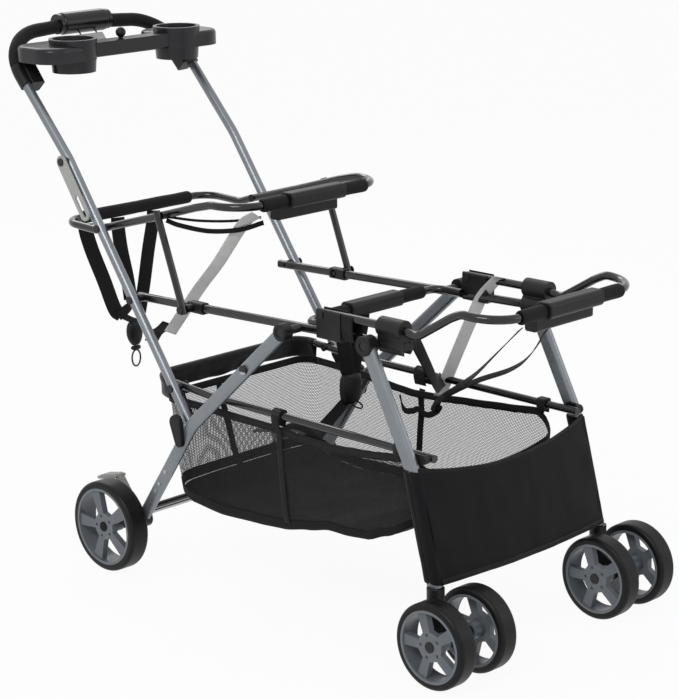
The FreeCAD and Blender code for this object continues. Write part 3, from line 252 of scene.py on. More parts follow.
def steelPaint(name, colour, rough, ends=None):
    # drawn steel; ends gives the distance from the middle past which it is blackened
    p = Paint(name, Metallic=1.0)
    x, y, z = p.split(p.coords())
    streak = p.grain(260.0, 4.0, 0.7, p.node("ShaderNodeCombineXYZ", None, {0: 0.1 * x, 1: y, 2: z}))
    tone = p.blend(streak, colour, tuple(c * 0.8 for c in colour))
    if ends:
        tone = p.blend(x.calc("ABSOLUTE") > ends, tone, (0.012, 0.012, 0.013))
    p.feed("Base Color", tone)
    p.feed("Roughness", rough + 0.2 * (streak - 0.5))
    p.bump(streak, 0.00003, 0.8, 0.0004)
    return p.material


def rivetPaint():
    # three bright rivets on each leg; the one at the storage hook is a black button
    p = Paint("rivetHeads", Specular_IOR_Level=0.4)
    x, y, z = p.split(p.coords())
    low = (z > 0.452) * (z < 0.475)
    streak = p.grain(300.0, 3.0, 0.6)
    p.feed("Base Color", p.blend(low, (0.42, 0.43, 0.45), (0.01, 0.01, 0.011)))
    p.feed("Metallic", 1.0 - low)
    p.feed("Roughness", 0.3 + 0.15 * (streak - 0.5))
    p.bump(streak, 0.00003, 0.8, 0.0004)
    return p.material


def tyrePaint():
    p = Paint("tyreRubber", Specular_IOR_Level=0.22)
    scuff = p.grain(60.0, 5.0, 0.7)
    broad = p.grain(9.0, 3.0)
    worn = p.span(scuff, 0.45, 0.75, 0.0, 0.5)
    p.feed("Base Color", p.blend(worn, (0.004, 0.004, 0.0045), (0.014, 0.014, 0.014)))
    p.feed("Roughness", 0.4 + 0.25 * (broad - 0.4))
    p.bump(scuff, 0.00015, 0.7, 0.001)
    return p.material


def rimPaint():
    # moulded rim, a little paler where its edges are rubbed
    p = Paint("rimMoulding", Specular_IOR_Level=0.4)
    broad = p.grain(11.0, 3.0, 0.6)
    fine = p.grain(600.0, 3.0, 0.7)
    wear = p.node("ShaderNodeNewGeometry", out="Pointiness")
    worn = p.span(wear, 0.53, 0.6, 0.0, 0.5)
    tone = p.blend(p.span(broad, 0.3, 0.75, 0.0, 1.0), (0.12, 0.135, 0.152), (0.15, 0.165, 0.185))
    p.feed("Base Color", p.blend(worn, tone, (0.2, 0.215, 0.23)))
    p.feed("Roughness", 0.36 + 0.16 * (broad - 0.5) + 0.1 * (fine - 0.5))
    p.bump(fine, 0.0001, 0.6, 0.0008)
    return p.material


def foamPaint():
    p = Paint("closedFoam", Specular_IOR_Level=0.15)
    cells = p.node("ShaderNodeTexVoronoi", {"feature": "SMOOTH_F1"}, {"Vector": p.coords(), "Scale": 900.0})
    broad = p.grain(38.0, 4.0)
    p.feed("Base Color", p.blend(broad, (0.005, 0.005, 0.0055), (0.013, 0.013, 0.014)))
    p.feed("Roughness", 0.66 + 0.2 * (broad - 0.5))
    p.bump(cells + 0.8 * broad, 0.0004, 0.9)
    return p.material


def weavePaint(name, colour, thread, sheen, depth, rough=0.75):
    # plain weave: warp and weft cross over on a square of one thread
    p = Paint(name, Sheen_Weight=sheen, Sheen_Roughness=0.4, Specular_IOR_Level=0.12)
    across, along, _ = p.split(p.lay())
    weave = (across * (math.pi / thread)).calc("SINE") * (along * (math.pi / thread)).calc("SINE")
    broad = p.grain(16.0, 4.0, 0.6)
    fuzz = p.grain(240.0, 3.0, 0.6)
    pale = tuple(c * 1.8 + 0.003 for c in colour)
    p.feed("Base Color", p.blend(p.span(weave + 0.8 * (broad - 0.5), -1.0, 1.0, 0.0, 1.0), colour, pale))
    p.feed("Roughness", rough + 0.2 * (fuzz - 0.5))
    p.bump(weave + 0.5 * fuzz, depth, 0.8)
    return p.material


def webbingPaint(name, colour, rib, sheen):
    # woven tape: ribs across, a selvedge along each edge
    p = Paint(name, Sheen_Weight=sheen, Sheen_Roughness=0.35, Specular_IOR_Level=0.15)
    across, along, _ = p.split(p.lay())
    zigzag = across.calc("PINGPONG", rib)
    ribs = ((along + zigzag) * (2 * math.pi / rib)).calc("SINE")
    fuzz = p.grain(420.0, 3.0, 0.6)
    broad = p.grain(22.0, 3.0)
    pale = tuple(min(1.0, c * 1.6 + 0.005) for c in colour)
    p.feed("Base Color", p.blend(p.span(ribs + broad - 0.5, -1.0, 1.0, 0.0, 1.0), colour, pale))
    p.feed("Roughness", 0.62 + 0.2 * (fuzz - 0.5))
    p.bump(ribs + 0.4 * fuzz, 0.0003, 0.8)
    return p.material


def netPaint(name, colour, pitch, threadShare, sheen=0.05):
    # knitted net: round holes on a staggered grid
    p = Paint(name, Sheen_Weight=sheen, Specular_IOR_Level=0.15, Roughness=0.65)
    across, along, _ = p.split(p.lay())
    hole, root3 = None, 1.732
    for slide in (0.0, 0.5):
        u = (across / pitch + slide).calc("FRACT") - 0.5
        v = ((along / (pitch * root3) + slide).calc("FRACT") - 0.5) * root3
        far = (u * u + v * v).calc("SQRT")
        hole = far if hole is None else hole.calc("MINIMUM", far)
    thread = p.span(hole, threadShare - 0.04, threadShare + 0.04, 0.0, 1.0)
    broad = p.grain(14.0, 3.0)
    p.feed("Base Color", p.blend(broad, colour, tuple(c * 1.5 + 0.004 for c in colour)))
    p.feed("Alpha", thread)
    p.bump(hole, 0.0004, 0.6)
    return p.material


paints = {
    "black_tube": tubePaint("blackCoat", (0.0045, 0.0045, 0.005), 0.0, 0.2, 0.45),
    "silver_tube": tubePaint("silverCoat", (0.20, 0.215, 0.235), 0.6, 0.34, 0.2),
    "bright_steel": steelPaint("plainSteel", (0.52, 0.52, 0.54), 0.26, 0.28),
    "black_steel": tubePaint("blackBolts", (0.008, 0.008, 0.0085), 0.3, 0.3, 0.2),
    "grey_plastic": plasticPaint("greyMoulding", (0.30, 0.305, 0.295), 0.35, 700.0, 0.00008),
    "rim_plastic": rimPaint(),
    "tyre": tyrePaint(),
    "foam": foamPaint(),
    "fabric": weavePaint("blackCloth", (0.0045, 0.0045, 0.0055), 0.0011, 0.12, 0.00025),
    "webbing": webbingPaint("blackWebbing", (0.0045, 0.0045, 0.005), 0.0016, 0.1),
    "black_plastic": plasticPaint("blackMoulding", (0.006, 0.006, 0.0066), 0.4, 800.0, 0.0001, 0.25),
}
ownPaints = {
    "drinks_tray": plasticPaint("trayMoulding", (0.0085, 0.009, 0.011), 0.3, 500.0, 0.00006),
    "handle_console": plasticPaint("consoleMoulding", (0.006, 0.006, 0.0066), 0.24, 600.0, 0.00005),
    "leg_rivets": rivetPaint(),
}
labelPaint = webbingPaint("paleTape", (0.80, 0.80, 0.78), 0.0012, 0.1)
sateenPaint = weavePaint("sateenCloth", (0.0055, 0.0055, 0.007), 0.0007, 0.3, 0.00012, 0.42)
netWallPaint = netPaint("wallNet", (0.012, 0.012, 0.0125), 0.0034, 0.34)

for row in frame["record"]["subparts"]:
    held = nodes[row["node"]].data
    held.materials.clear()
    held.materials.append(ownPaints.get(row["node"], paints[row["material_slot"]]))
print("paints mixed")


def piece(name, body, paint, points, faces, lay=None, stands=()):
    mesh = bpy.data.meshes.new(name)
    mesh.from_pydata(points, [], faces)
    mesh.update()
    for polygon in mesh.polygons:
        polygon.use_smooth = True
    if lay:
        stored = mesh.attributes.new("lay", "FLOAT_VECTOR", "POINT")
        stored.data.foreach_set("vector", [n for a, b in lay for n in (a, b, 0.0)])
    made = bpy.data.objects.new(name, mesh)
    scene.collection.objects.link(made)
    mesh.materials.append(paint)
    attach(made, body)
    if stands:
        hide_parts(*stands)
    return made


def gridFaces(rows, columns, closed=False):
    faces = []
    for i in range(rows - 1):
        for j in range(columns if closed else columns - 1):
            k = (j + 1) % columns
            faces.append((i * columns + j, i * columns + k, (i + 1) * columns + k, (i + 1) * columns + j))
    return faces


def rounded(made, levels):
    made.modifiers.new("smooth", "SUBSURF").levels = levels
    made.modifiers["smooth"].render_levels = levels


def sheetPiece(name, body, paint, grid, lay, thick=0.0, smooth=1, stands=()):
    # grid and lay are rows of points, and of distances across and along the cloth
    points = [p for row in grid for p in row]
    flat = [a for row in lay for a in row]
    made = piece(name, body, paint, points, gridFaces(len(grid), len(grid[0])), flat, stands)
    if thick:
        made.modifiers.new("thick", "SOLIDIFY").thickness = thick
        made.modifiers["thick"].offset = 0
    if smooth:
        rounded(made, smooth)
    return made


def curvePoint(points, t):
    # smooth curve through the given points, t from 0 to 1
    last = len(points) - 1
    i = min(int(t * last), last - 1)
    u = t * last - i
    p1, p2 = points[i], points[i + 1]
    p0 = points[i - 1] if i else p1 * 2 - p2
    p3 = points[i + 2] if i + 2 <= last else p2 * 2 - p1
    return (p1 * 2 + (p2 - p0) * u + (p0 * 2 - p1 * 5 + p2 * 4 - p3) * u * u
            + (p1 * 3 - p0 - p2 * 3 + p3) * u ** 3) * 0.5


def strap(name, body, points, wide, facing, paint=None, thick=1.8, stands=(), step=5.0):
    # flat tape through the points, its width along facing (one way, or one at each end)
    points = [spot(*p) for p in points]
    ways = [Vector(f) for f in facing] if isinstance(facing[0], (tuple, list)) else [Vector(facing)] * 2
    run = sum((b - a).length for a, b in zip(points, points[1:]))
    count = max(6, int(run / mm(step)))
    half, deep = mm(wide) / 2, mm(thick) / 2
    outline = [(-1, 0), (-0.93, 1), (-0.45, 1), (0, 1), (0.45, 1), (0.93, 1), (1, 0),
               (0.93, -1), (0.45, -1), (0, -1), (-0.45, -1), (-0.93, -1)]
    rings, lay, length = [], [], 0.0
    before = None
    for i in range(count + 1):
        t = i / count
        here = curvePoint(points, t)
        ahead = (curvePoint(points, min(1, t + 0.01)) - curvePoint(points, max(0, t - 0.01))).normalized()
        across = ways[0].lerp(ways[1], t)
        across = (across - ahead * across.dot(ahead)).normalized()
        face = across.cross(ahead)
        length += (here - before).length if before else 0.0
        before = here
        for a, b in outline:
            rings.append(here + across * (a * half) + face * (b * deep))
            lay.append((a * half, length))
    n = len(outline)
    faces = gridFaces(count + 1, n, True)
    faces.append(tuple(range(n))[::-1])
    faces.append(tuple(range(count * n, (count + 1) * n)))
    return piece(name, body, paint or paints["webbing"], rings, faces, lay, stands)


def ropeLoop(name, body, points, radius, paint, sides=8, step=3.0):
    # round wire bent to a closed ring through the points
    points = [spot(*p) for p in points]
    points = points + points[:1]
    run = sum((b - a).length for a, b in zip(points, points[1:]))
    n = max(8, int(run / mm(step)))
    path = [curvePoint(points, i / n) for i in range(n)]
    side, rings, lay = None, [], []
    for i, here in enumerate(path):
        ahead = (path[(i + 1) % n] - path[i - 1]).normalized()
        side = side or (Vector((0.3, 0.5, 0.8)).cross(ahead)).normalized()
        side = (side - ahead * side.dot(ahead)).normalized()
        up = ahead.cross(side)
        for k in range(sides):
            turn = 2 * math.pi * k / sides
            rings.append(here + (side * math.cos(turn) + up * math.sin(turn)) * mm(radius))
            lay.append((mm(radius) * turn, run * i / n))
    last = (n - 1) * sides
    faces = gridFaces(n, sides, True)
    faces += [(last + k, last + (k + 1) % sides, (k + 1) % sides, k) for k in range(sides)]
    return piece(name, body, paint, rings, faces, lay)


def loft(name, body, paint, sections, around=28, power=2.6):
    # rounded body through oval sections: (x, y, z, half width, half depth)
    points, lay = [], []
    for x, y, z, wide, deep in sections:
        for k in range(around):
            turn = 2 * math.pi * k / around
            c, s = math.cos(turn), math.sin(turn)
            px = math.copysign(abs(c) ** (2 / power), c) * wide
            py = math.copysign(abs(s) ** (2 / power), s) * deep
            points.append(spot(x + px, y + py, z))
            lay.append((mm(wide * turn), mm(z)))
    faces = gridFaces(len(sections), around, True)
    last = (len(sections) - 1) * around
    faces += [tuple(range(around))[::-1], tuple(range(last, last + around))]
    made = piece(name, body, paint, points, faces, lay)
    rounded(made, 1)
    return made


foam = {"voxel": 0.0026, "rounds": 6, "lump": 0.0006, "lumpSize": 26.0}


def softCopy(node, name, paint):
    # the sleeve's solid, rounded at its ends and a little uneven, as squeezed foam is
    source = nodes[node]
    mesh = source.data.copy()
    mesh.name = name
    made = bpy.data.objects.new(name, mesh)
    scene.collection.objects.link(made)
    cast = made.modifiers.new("cast", "REMESH")
    cast.mode = "VOXEL"
    cast.voxel_size = foam["voxel"]
    ease = made.modifiers.new("ease", "SMOOTH")
    ease.factor = 0.5
    ease.iterations = foam["rounds"]
    solid = bpy.data.meshes.new_from_object(made.evaluated_get(bpy.context.evaluated_depsgraph_get()))
    made.modifiers.clear()
    made.data = solid
    for v in solid.vertices:
        push = noise.noise(v.co * foam["lumpSize"]) * foam["lump"]
        v.co += v.normal * (push - foam["lump"] * 0.4)
    for polygon in solid.polygons:
        polygon.use_smooth = True
    solid.materials.clear()
    solid.materials.append(paint)
    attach(made, source["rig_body"])
    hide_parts(node)
    return made


for node, name in (("front_seat_foam", "seatBarFoam"), ("ring_foam", "ringFoam"),
                   ("front_bar_foam", "frontBarFoam"), ("handle_grips", "handleGrips")):
    softCopy(node, name, paints["foam"])
print("foam sleeves made")


# heights of the basket's edges are (y, z) pairs along each side
basket = {
    "half": 190.0,          # to the net's side walls
    "rear": 330.0,
    "front": -322.0,
    "corner": 34.0,
    "topNear": ((330, 348), (255, 349), (210, 349), (110, 347), (31, 346), (-8, 344), (-46, 341), (-126, 339),
                (-206, 345), (-294, 355), (-322, 355)),
    "topFar": ((330, 348), (210, 345), (156, 340), (59, 331), (32, 329), (-30, 332), (-117, 339), (-202, 346),
               (-276, 353), (-322, 322)),
    "topFront": 300.0,
    "floorNear": ((330, 172), (311, 162), (269, 150), (169, 143), (69, 148), (3, 153), (-60, 166),
                  (-113, 178), (-153, 178), (-207, 183), (-253, 200), (-322, 234)),
    "floorRear": 178.0,
    "rearProfile": ((0.0, 30), (0.24, 24), (0.44, 20), (0.66, 17), (0.84, 12), (1.0, 4)),
    "border": 0.11,         # share of the wall in solid cloth
    "columns": 200,
    "ripple": (2.6, 1.1),   # broad and fine waves of the net
    "crease": (3.4, 1.2),   # broad and fine creases of the floor
    "leanFrom": 150.0,      # where the sides begin to lean in with the rear wall
    "liftFrom": 250.0,      # where the floor begins to rise to the rear wall
    "floorSag": 7.0,
    "foldTo": 380.0,        # height that the folding basket flattens to; nothing in the script moves it there
}


def along(line, y):
    # height on a line of (y, z) pairs that runs from the rear to the front
    for (y0, z0), (y1, z1) in zip(line, line[1:]):
        if y1 <= y <= y0:
            share = (y0 - y) / (y0 - y1)
            share = share * share * (3 - 2 * share) * 0.5 + share * 0.5
            return z0 + (z1 - z0) * share
    return line[0][1] if y > line[0][0] else line[-1][1]


def rearLean(share):
    # how far the rear wall leans in at a share of its height
    line = basket["rearProfile"]
    for (a, u), (b, v) in zip(line, line[1:]):
        if share <= b:
            return u + (v - u) * (share - a) / (b - a)
    return line[-1][1]


def rearPart(y):
    # 0 over the front of the basket, 1 near its rear wall
    return max(0.0, min(1.0, (y - basket["leanFrom"]) / 150)) ** 2


def floorHeight(x, y):
    # the cloth floor sags most a little behind the middle, and lifts at the rear and front walls
    rim = along(basket["floorNear"], y)
    rearLift = max(0.0, (y - basket["liftFrom"]) / (basket["rear"] - basket["liftFrom"]))
    side = min(1.0, abs(x) / basket["half"])
    rim += (basket["floorRear"] - rim) * rearLift ** 2 * (1 - side ** 4)
    return rim


def topHeight(x, y):
    near, far = along(basket["topNear"], y), along(basket["topFar"], y)
    share = (x + basket["half"]) / (2 * basket["half"])
    high = near + (far - near) * share
    front = max(0.0, min(1.0, (basket["front"] + 30 - y) / 26))
    middle = 1 - (abs(x) / basket["half"]) ** 3
    return high + (basket["topFront"] - high) * front * middle


def planLoop(inset, count):
    # points of the rounded outline seen from above, with the distance along it
    hx, y0, y1, r = (basket["half"] - inset, basket["front"] + inset, basket["rear"] - inset,
                     max(basket["corner"] - inset, 6.0))
    runs = []
    middles = ((hx - r, y1 - r), (r - hx, y1 - r), (r - hx, y0 + r), (hx - r, y0 + r))
    for start, (cx, cy) in zip((0, 90, 180, 270), middles):
        for k in range(9):
            turn = math.radians(start + 90 * k / 8)
            runs.append((cx + r * math.cos(turn), cy + r * math.sin(turn)))
    runs.append(runs[0])
    spans = [math.dist(a, b) for a, b in zip(runs, runs[1:])]
    whole = sum(spans)
    loop = []
    for i in range(count + 1):
        want, k = whole * i / count, 0
        while k < len(spans) - 1 and want > spans[k]:
            want -= spans[k]
            k += 1
        share = want / spans[k] if spans[k] else 0
        loop.append((runs[k][0] + (runs[k + 1][0] - runs[k][0]) * share,
                     runs[k][1] + (runs[k + 1][1] - runs[k][1]) * share, whole * i / count))
    return loop


def wallGrid(low, high, rows, proud=0.0):
    # rows of the wall between two shares of its height
    broad, fine = basket["ripple"]
    grid, lay = [], []
    for i in range(rows + 1):
        share = low + (high - low) * i / rows
        line, flat = [], []
        lean = 4 * (1 - share) ** 2 - 2.5 * math.sin(math.pi * share) - proud
        for x, y, run in planLoop(lean, basket["columns"]):
            bottom, top = floorHeight(x, y), topHeight(x, y)
            z = bottom + (top - bottom) * share
            ripple = (broad * noise.noise(Vector((x * 0.8, y, z)) * 0.015)
                      + fine * noise.noise(Vector((x, y, z * 0.3)) * 0.04)) * math.sin(math.pi * share)
            away = Vector((x, y * 0.5, 0)).normalized() * ripple
            line.append(spot(x + away.x, y + away.y - rearLean(share) * rearPart(y), z))
            flat.append((mm(run), mm(z)))
        grid.append(line)
        lay.append(flat)
    return grid, lay


def flatSize(grid):
    # mean width and height of the cloth a grid was cut from
    rows = [sum((q - p).length for p, q in zip(line, line[1:])) for line in grid]
    falls = [sum((q[k] - p[k]).length for p, q in zip(grid, grid[1:])) for k in range(0, len(grid[0]), 4)]
    return sum(rows) / len(rows), sum(falls) / len(falls)


def squashed(made):
    spot(0, 0, basket["foldTo"])
    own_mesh(made)


def makeFloor():
    # from rings that shrink towards the middle
    broad, fine = basket["crease"]
    grid, lay = [], []
    for i in range(17):
        size = 1 - (i / 16) ** 1.15
        line, flat = [], []
        for x, y, _ in planLoop(5, 140):
            px, py = x * size, (y - 2) * size + 2
            bulge = basket["floorSag"] * (1 - size ** 2.2)
            crease = (broad * noise.noise(Vector((px, py * 1.7, 3)) * 0.011)
                      + fine * noise.noise(Vector((px, py, 9)) * 0.035))
            z = floorHeight(x * size, py) - bulge + crease * (1 - size ** 6) + 0.5
            line.append(spot(px, py - rearLean(0.0) * rearPart(y) * size, z))
            flat.append((mm(px), mm(py)))
        grid.append(line)
        lay.append(flat)
    floor = sheetPiece("basketFloor", "lower", paints["fabric"], grid, lay, smooth=0)
    squashed(floor)
    wide, long = mm(2 * basket["half"] - 10), mm(basket["rear"] - basket["front"] - 10)
    wide * long * 0.97


def makeEdge():
    # the binding folds over the top of the net, inside and outside
    wrap = [(-1.4, -12), (-1.9, -6), (-1.6, 0.5), (0, 1.8), (1.6, 0.5), (1.9, -6), (1.4, -12)]
    loops = planLoop(0, basket["columns"])
    grid, lay = [], []
    for off, rise in wrap:
        line, flat = [], []
        for x, y, run in loops:
            out = Vector((x - max(-156, min(156, x)), y - max(-288, min(296, y)), 0))
            out = out.normalized() if out.length > 0.1 else Vector((math.copysign(1, x), 0, 0))
            back = rearLean(1.0) * rearPart(y)
            line.append(spot(x + out.x * off, y + out.y * off - back, topHeight(x, y) + rise))
            flat.append((mm(rise + off), mm(run)))
        grid.append(line)
        lay.append(flat)
    edge = sheetPiece("basketEdge", "lower", paints["webbing"], grid, lay, mm(0.9), 0)
    squashed(edge)
    flatSize(grid)


def makeBasket():
    netGrid, lay = wallGrid(basket["border"] - 0.02, 1.0, 16)
    walls = sheetPiece("basketNet", "lower", netWallPaint, netGrid, lay, smooth=0,
                       stands=("basket",))
    squashed(walls)
    grid, lay = wallGrid(0.0, basket["border"], 4, 0.8)
    border = sheetPiece("basketBorder", "lower", paints["fabric"], grid, lay, mm(1.2), 0)
    squashed(border)
    flatSize(grid)
    makeFloor()
    makeEdge()
    flatSize(netGrid)


makeBasket()

# sateen band that wraps the lower frame's rear cross tube and both its corners
band = {
    "tube": 190.0,          # side tubes of the lower frame
    "rear": 344.0,
    "corner": 40.0,
    "height": 369.2,        # tube's centre at the kink, and its slope behind it
    "kink": 190.0,
    "slope": 0.0705,
    "radius": 8.6,
    "start": 300.0,
    "drop": 34.0,           # how far the cloth hangs below the tube's centre
    "crumple": 3.2,
    "fine": 0.9,
    "count": 110,
}


def makeBand():
    r = band["corner"]
    bend = band["rear"] - r
    path = [(-band["tube"], y) for y in (band["start"], (band["start"] + bend) / 2, bend)]
    for turn in map(math.radians, (15, 30, 45, 60, 75, 90)):
        path.append((-band["tube"] + r - r * math.cos(turn), bend + r * math.sin(turn)))
    path += [(x, band["rear"]) for x in (-120, -80, -40, 0, 40, 80, 120)]
    path += [(-x, y) for x, y in path[8::-1]]
    wrap = [(3.2, -band["drop"]), (4.6, -22), (5.4, -12)]
    wrap += [(band["radius"] * math.cos(math.radians(a)), band["radius"] * math.sin(math.radians(a)))
             for a in (-25, 5, 35, 65, 95, 125, 155, 185, 210)]
    wrap += [(-4.6, -14), (-3.2, -24), (-2.2, -band["drop"] + 3)]
    points = [Vector((x, y, 0)) for x, y in path]
    grid, lay = [], []
    for off, rise in wrap:
        line, flat, run, before = [], [], 0.0, None
        for i in range(band["count"] + 1):
            t = i / band["count"]
            here = curvePoint(points, t)
            ahead = (curvePoint(points, min(1, t + 0.01)) - curvePoint(points, max(0, t - 0.01))).normalized()
            out = Vector((-ahead.y, ahead.x, 0))
            run += (here - before).length if before else 0.0
            before = here
            low = max(0.0, -rise) / band["drop"]
            crumple = noise.noise(Vector((run * 0.035, rise * 0.05, off * 0.02))) * band["crumple"] * low
            fine = noise.noise(Vector((run * 0.12, rise * 0.09, 4.0))) * band["fine"]
            z = band["height"] + band["slope"] * (here.y - band["kink"]) + rise + crumple * 0.6
            place = here + out * (off + crumple + fine)
            line.append(spot(place.x, place.y, z))
            flat.append((mm(run), mm(rise + off)))
        grid.append(line)
        lay.append(flat)
    made = sheetPiece("rearBand", "lower", sateenPaint, grid, lay, mm(1.0), 1)
    flatSize(grid)


makeBand()
print("basket made")

# webbing on the basket, and short loops that hold it to the side tubes
webs = {
    "nearWeb": {"points": [(-196, 5, 346), (-193.5, 4, 330), (-193, 2, 280), (-193.5, -4, 220),
                           (-190, -8, 172), (-176, -9, 160)], "wide": 15, "facing": (0, 1, 0)},
    "farWeb": {"points": [(196, 14, 334), (193, 15, 318), (192.5, 14, 289), (193, 18, 250), (192, 20, 209)],
               "wide": 15, "facing": (0, 1, 0)},
    "rearWeb": {"points": [(-44, 330, 346), (-41, 322, 304), (-34, 312, 250), (-27, 305, 200),
                           (-25, 290, 172)], "wide": 15, "facing": (1, 0, 0)},
    "farKnot": {"points": [(192, 70, 312), (188, 55, 287), (185, 30, 290), (183, 13, 297), (184, -8, 289),
                           (188, -30, 300), (192, -34, 312)],
                "wide": 12, "facing": (0, 0.3, 1), "thick": 2.6},
}
loops = {
    "WebLoop": {"points": [(198, 8, 346), (200, 8, 366), (194, 8, 379), (184, 8, 377), (180, 8, 364),
                           (184, 8, 346)], "near": 20, "far": 30},
    "FrontTie": {"points": [(197, -290, 348), (199.4, -290, 364), (192, -290, 376), (182, -290, 370),
                            (184, -290, 350)], "near": 14, "far": 14},
}
for name, cut in webs.items():
    squashed(strap(name, "lower", **cut))
for sign, tag in ((-1, "near"), (1, "far")):
    for name, loop in loops.items():
        strap(tag + name, "lower", [(sign * x, y, z) for x, y, z in loop["points"]], loop[tag], (0, 1, 0))

# fabric panel between the front legs
panel = {
    "leg": 217.0,
    "bottom": 158.0,
    "top": 352.0,
    "bow": 14.0,            # forward, at the middle
    "dip": 24.0,            # of the top edge
    "legDeep": 15.0,        # half sizes of the leg's section
    "legWide": 8.0,
    "knee": (-341.0, 350.0),
    "foot": (-389.0, 163.0),
    "slack": (3.4, 1.2),
    "pull": 2.2,
    "rows": 26,
}



def legLine(z):
    # y of the front leg's centre line at a height
    knee, foot = panel["knee"], panel["foot"]
    return knee[0] + (foot[0] - knee[0]) * (knee[1] - z) / (knee[1] - foot[1])


def makePanel():
    grid, lay = [], []
    rows, columns = panel["rows"], 64
    broad, fine = panel["slack"]
    for i in range(rows + 1):
        v = i / rows
        line, flat = [], []
        for j in range(columns + 1):
            u = j / columns * 2 - 1
            middle = 1 - u * u
            top = panel["top"] - panel["dip"] * middle
            z = panel["bottom"] + (top - panel["bottom"]) * v
            x = u * (panel["leg"] + 1)
            slack = (noise.noise(Vector((u * 2.2, v * 1.6, 5))) * broad
                     + noise.noise(Vector((u * 7, v * 2.5, 2))) * fine)
            pull = panel["pull"] * math.sin(v * 9 + u * 3) * math.exp(-((1 - abs(u)) * 9) ** 2)
            y = legLine(z) - panel["legDeep"] - 3.2 - panel["bow"] * middle - (slack * middle + pull)
            line.append(spot(x, y, z))
            flat.append((mm(x), mm(z)))
        grid.append(line)
        lay.append(flat)
    sheetPiece("frontPanel", "front_leg_set", paints["fabric"], grid, lay, mm(1.6), 1,
               stands=("front_panel",))
    for row, name in ((rows, "panelTopHem"), (0, "panelLowHem")):
        base = grid[row]
        hem, flat = [], []
        for off, rise in ((0.4, -9), (-1.9, -7), (-2.1, 0), (-0.6, 1.6), (1.6, 0), (1.6, -7)):
            up = rise if row else -rise
            hem.append([p + Vector((0, mm(off), mm(up))) for p in base])
            flat.append([(mm(rise), a) for a, b in lay[row]])
        sheetPiece(name, "front_leg_set", paints["webbing"], hem, flat, mm(0.8), 1)


def makeSleeves():
    # a sleeve of the same cloth round each leg, with its seam at the back
    for sign, tag in ((-1, "Near"), (1, "Far")):
        grid, lay = [], []
        bands, around = 18, 28
        for i in range(bands + 1):
            z = panel["bottom"] - 1 + (panel["top"] - 4 - panel["bottom"]) * i / bands
            line, flat = [], []
            for k in range(around + 1):
                turn = 2 * math.pi * k / around
                c, s = math.cos(turn), math.sin(turn)
                wobble = 0.7 * noise.noise(Vector((c * 1.5, s * 1.5, z * 0.05 + sign * 7))) + 0.9
                wide = panel["legWide"] + 1.6 + wobble
                deep = panel["legDeep"] + 1.5 + wobble
                px = math.copysign(abs(c) ** 0.72, c) * wide
                py = math.copysign(abs(s) ** 0.72, s) * deep
                line.append(spot(sign * (panel["leg"] + px), legLine(z) + py, z))
                flat.append((mm(turn * 14), mm(z)))
            grid.append(line)
            lay.append(flat)
        sheetPiece("legSleeve" + tag, "front_leg_set", paints["fabric"], grid, lay, mm(1.0), 1)


makePanel()
makeSleeves()
print("front panel made")

turned = (0.9, -0.4, 0)     # ways that the straps' widths lie
slanted = (0.7, -0.7, 0)
level = (0.3, 0, 1)

# y of the rear straps is measured from the ring's rear tube
rearStraps = {
    "plane": 604.0,
    "bands": {
        "rearStrapOuter": {"points": [(-132, 0, 628), (-131, 2, 613), (-118, 2, 572), (-92, 0, 506),
                                      (-68, 0, 445), (-50, 0, 428)],
                           "wide": 29, "facing": (turned, (0.9, -0.3, 0.2)), "stands": ("rear_harness",)},
        "rearStrapMiddle": {"points": [(-51, 0, 628), (-50, 1, 606), (-44, 1, 560), (-33, 0, 505),
                                       (-26, 0, 458)], "wide": 28, "facing": turned},
        "rearStrapInner": {"points": [(42, 0, 628), (40, 1, 606), (26, 1, 550), (10, 0, 480), (-4, 0, 426)],
                           "wide": 27, "facing": turned},
        "rearStrapJoin": {"points": [(-62, -4, 430), (-42, -5, 440), (-28, -4, 448), (-16, -3, 462)],
                          "wide": 22, "facing": (level, (0.8, 0, 0.6))},
        "rearStrapTail": {"points": [(-58, -3, 432), (-40, -3, 422), (-22, -3, 412), (-6, -3, 406)],
                          "wide": 15, "facing": (0, 0.4, 1)},
    },
    "blocks": {
        "rearBuckle": [(-17, 0, 412, 12, 5), (-18, 0, 408, 17, 8), (-19, 0, 396, 19.5, 9.5),
                       (-19, 0, 382, 19, 9.5), (-18, 0, 370, 15, 8), (-17.5, 0, 364, 10, 6),
                       (-17.5, 0, 361, 9, 5)],
        "rearBuckleCollar": [(-17, 0, 360, 9.5, 4.5), (-17, 0, 358, 12, 5.5), (-17, 0, 353, 12, 5.5),
                             (-17, 0, 351, 9, 4.5)],
    },
    "ring": {"centre": (-17, 0, 334), "up": (0, 0, 17), "side": (11, 0, 0), "radius": 1.8},
}


def offPlane(plane, points):
    return [(x, plane + y, *rest) for x, y, *rest in points]


def buckleRing(name, body, plane, ring):
    ways = list(zip(ring["centre"], ring["up"], ring["side"]))
    points = [[c + u * math.cos(turn) + v * math.sin(turn) for c, u, v in ways]
              for turn in (k * math.pi / 6 for k in range(12))]
    return ropeLoop(name, body, offPlane(plane, points), ring["radius"],
                    paints["black_plastic"])


def makeRearStraps():
    plane = rearStraps["plane"]
    for name, cut in rearStraps["bands"].items():
        strap(name, "ring", **{**cut, "points": offPlane(plane, cut["points"])})
    for name, sections in rearStraps["blocks"].items():
        loft(name, "ring", paints["black_plastic"], offPlane(plane, sections))
    buckleRing("rearBuckleRing", "ring", plane, rearStraps["ring"])


makeRearStraps()

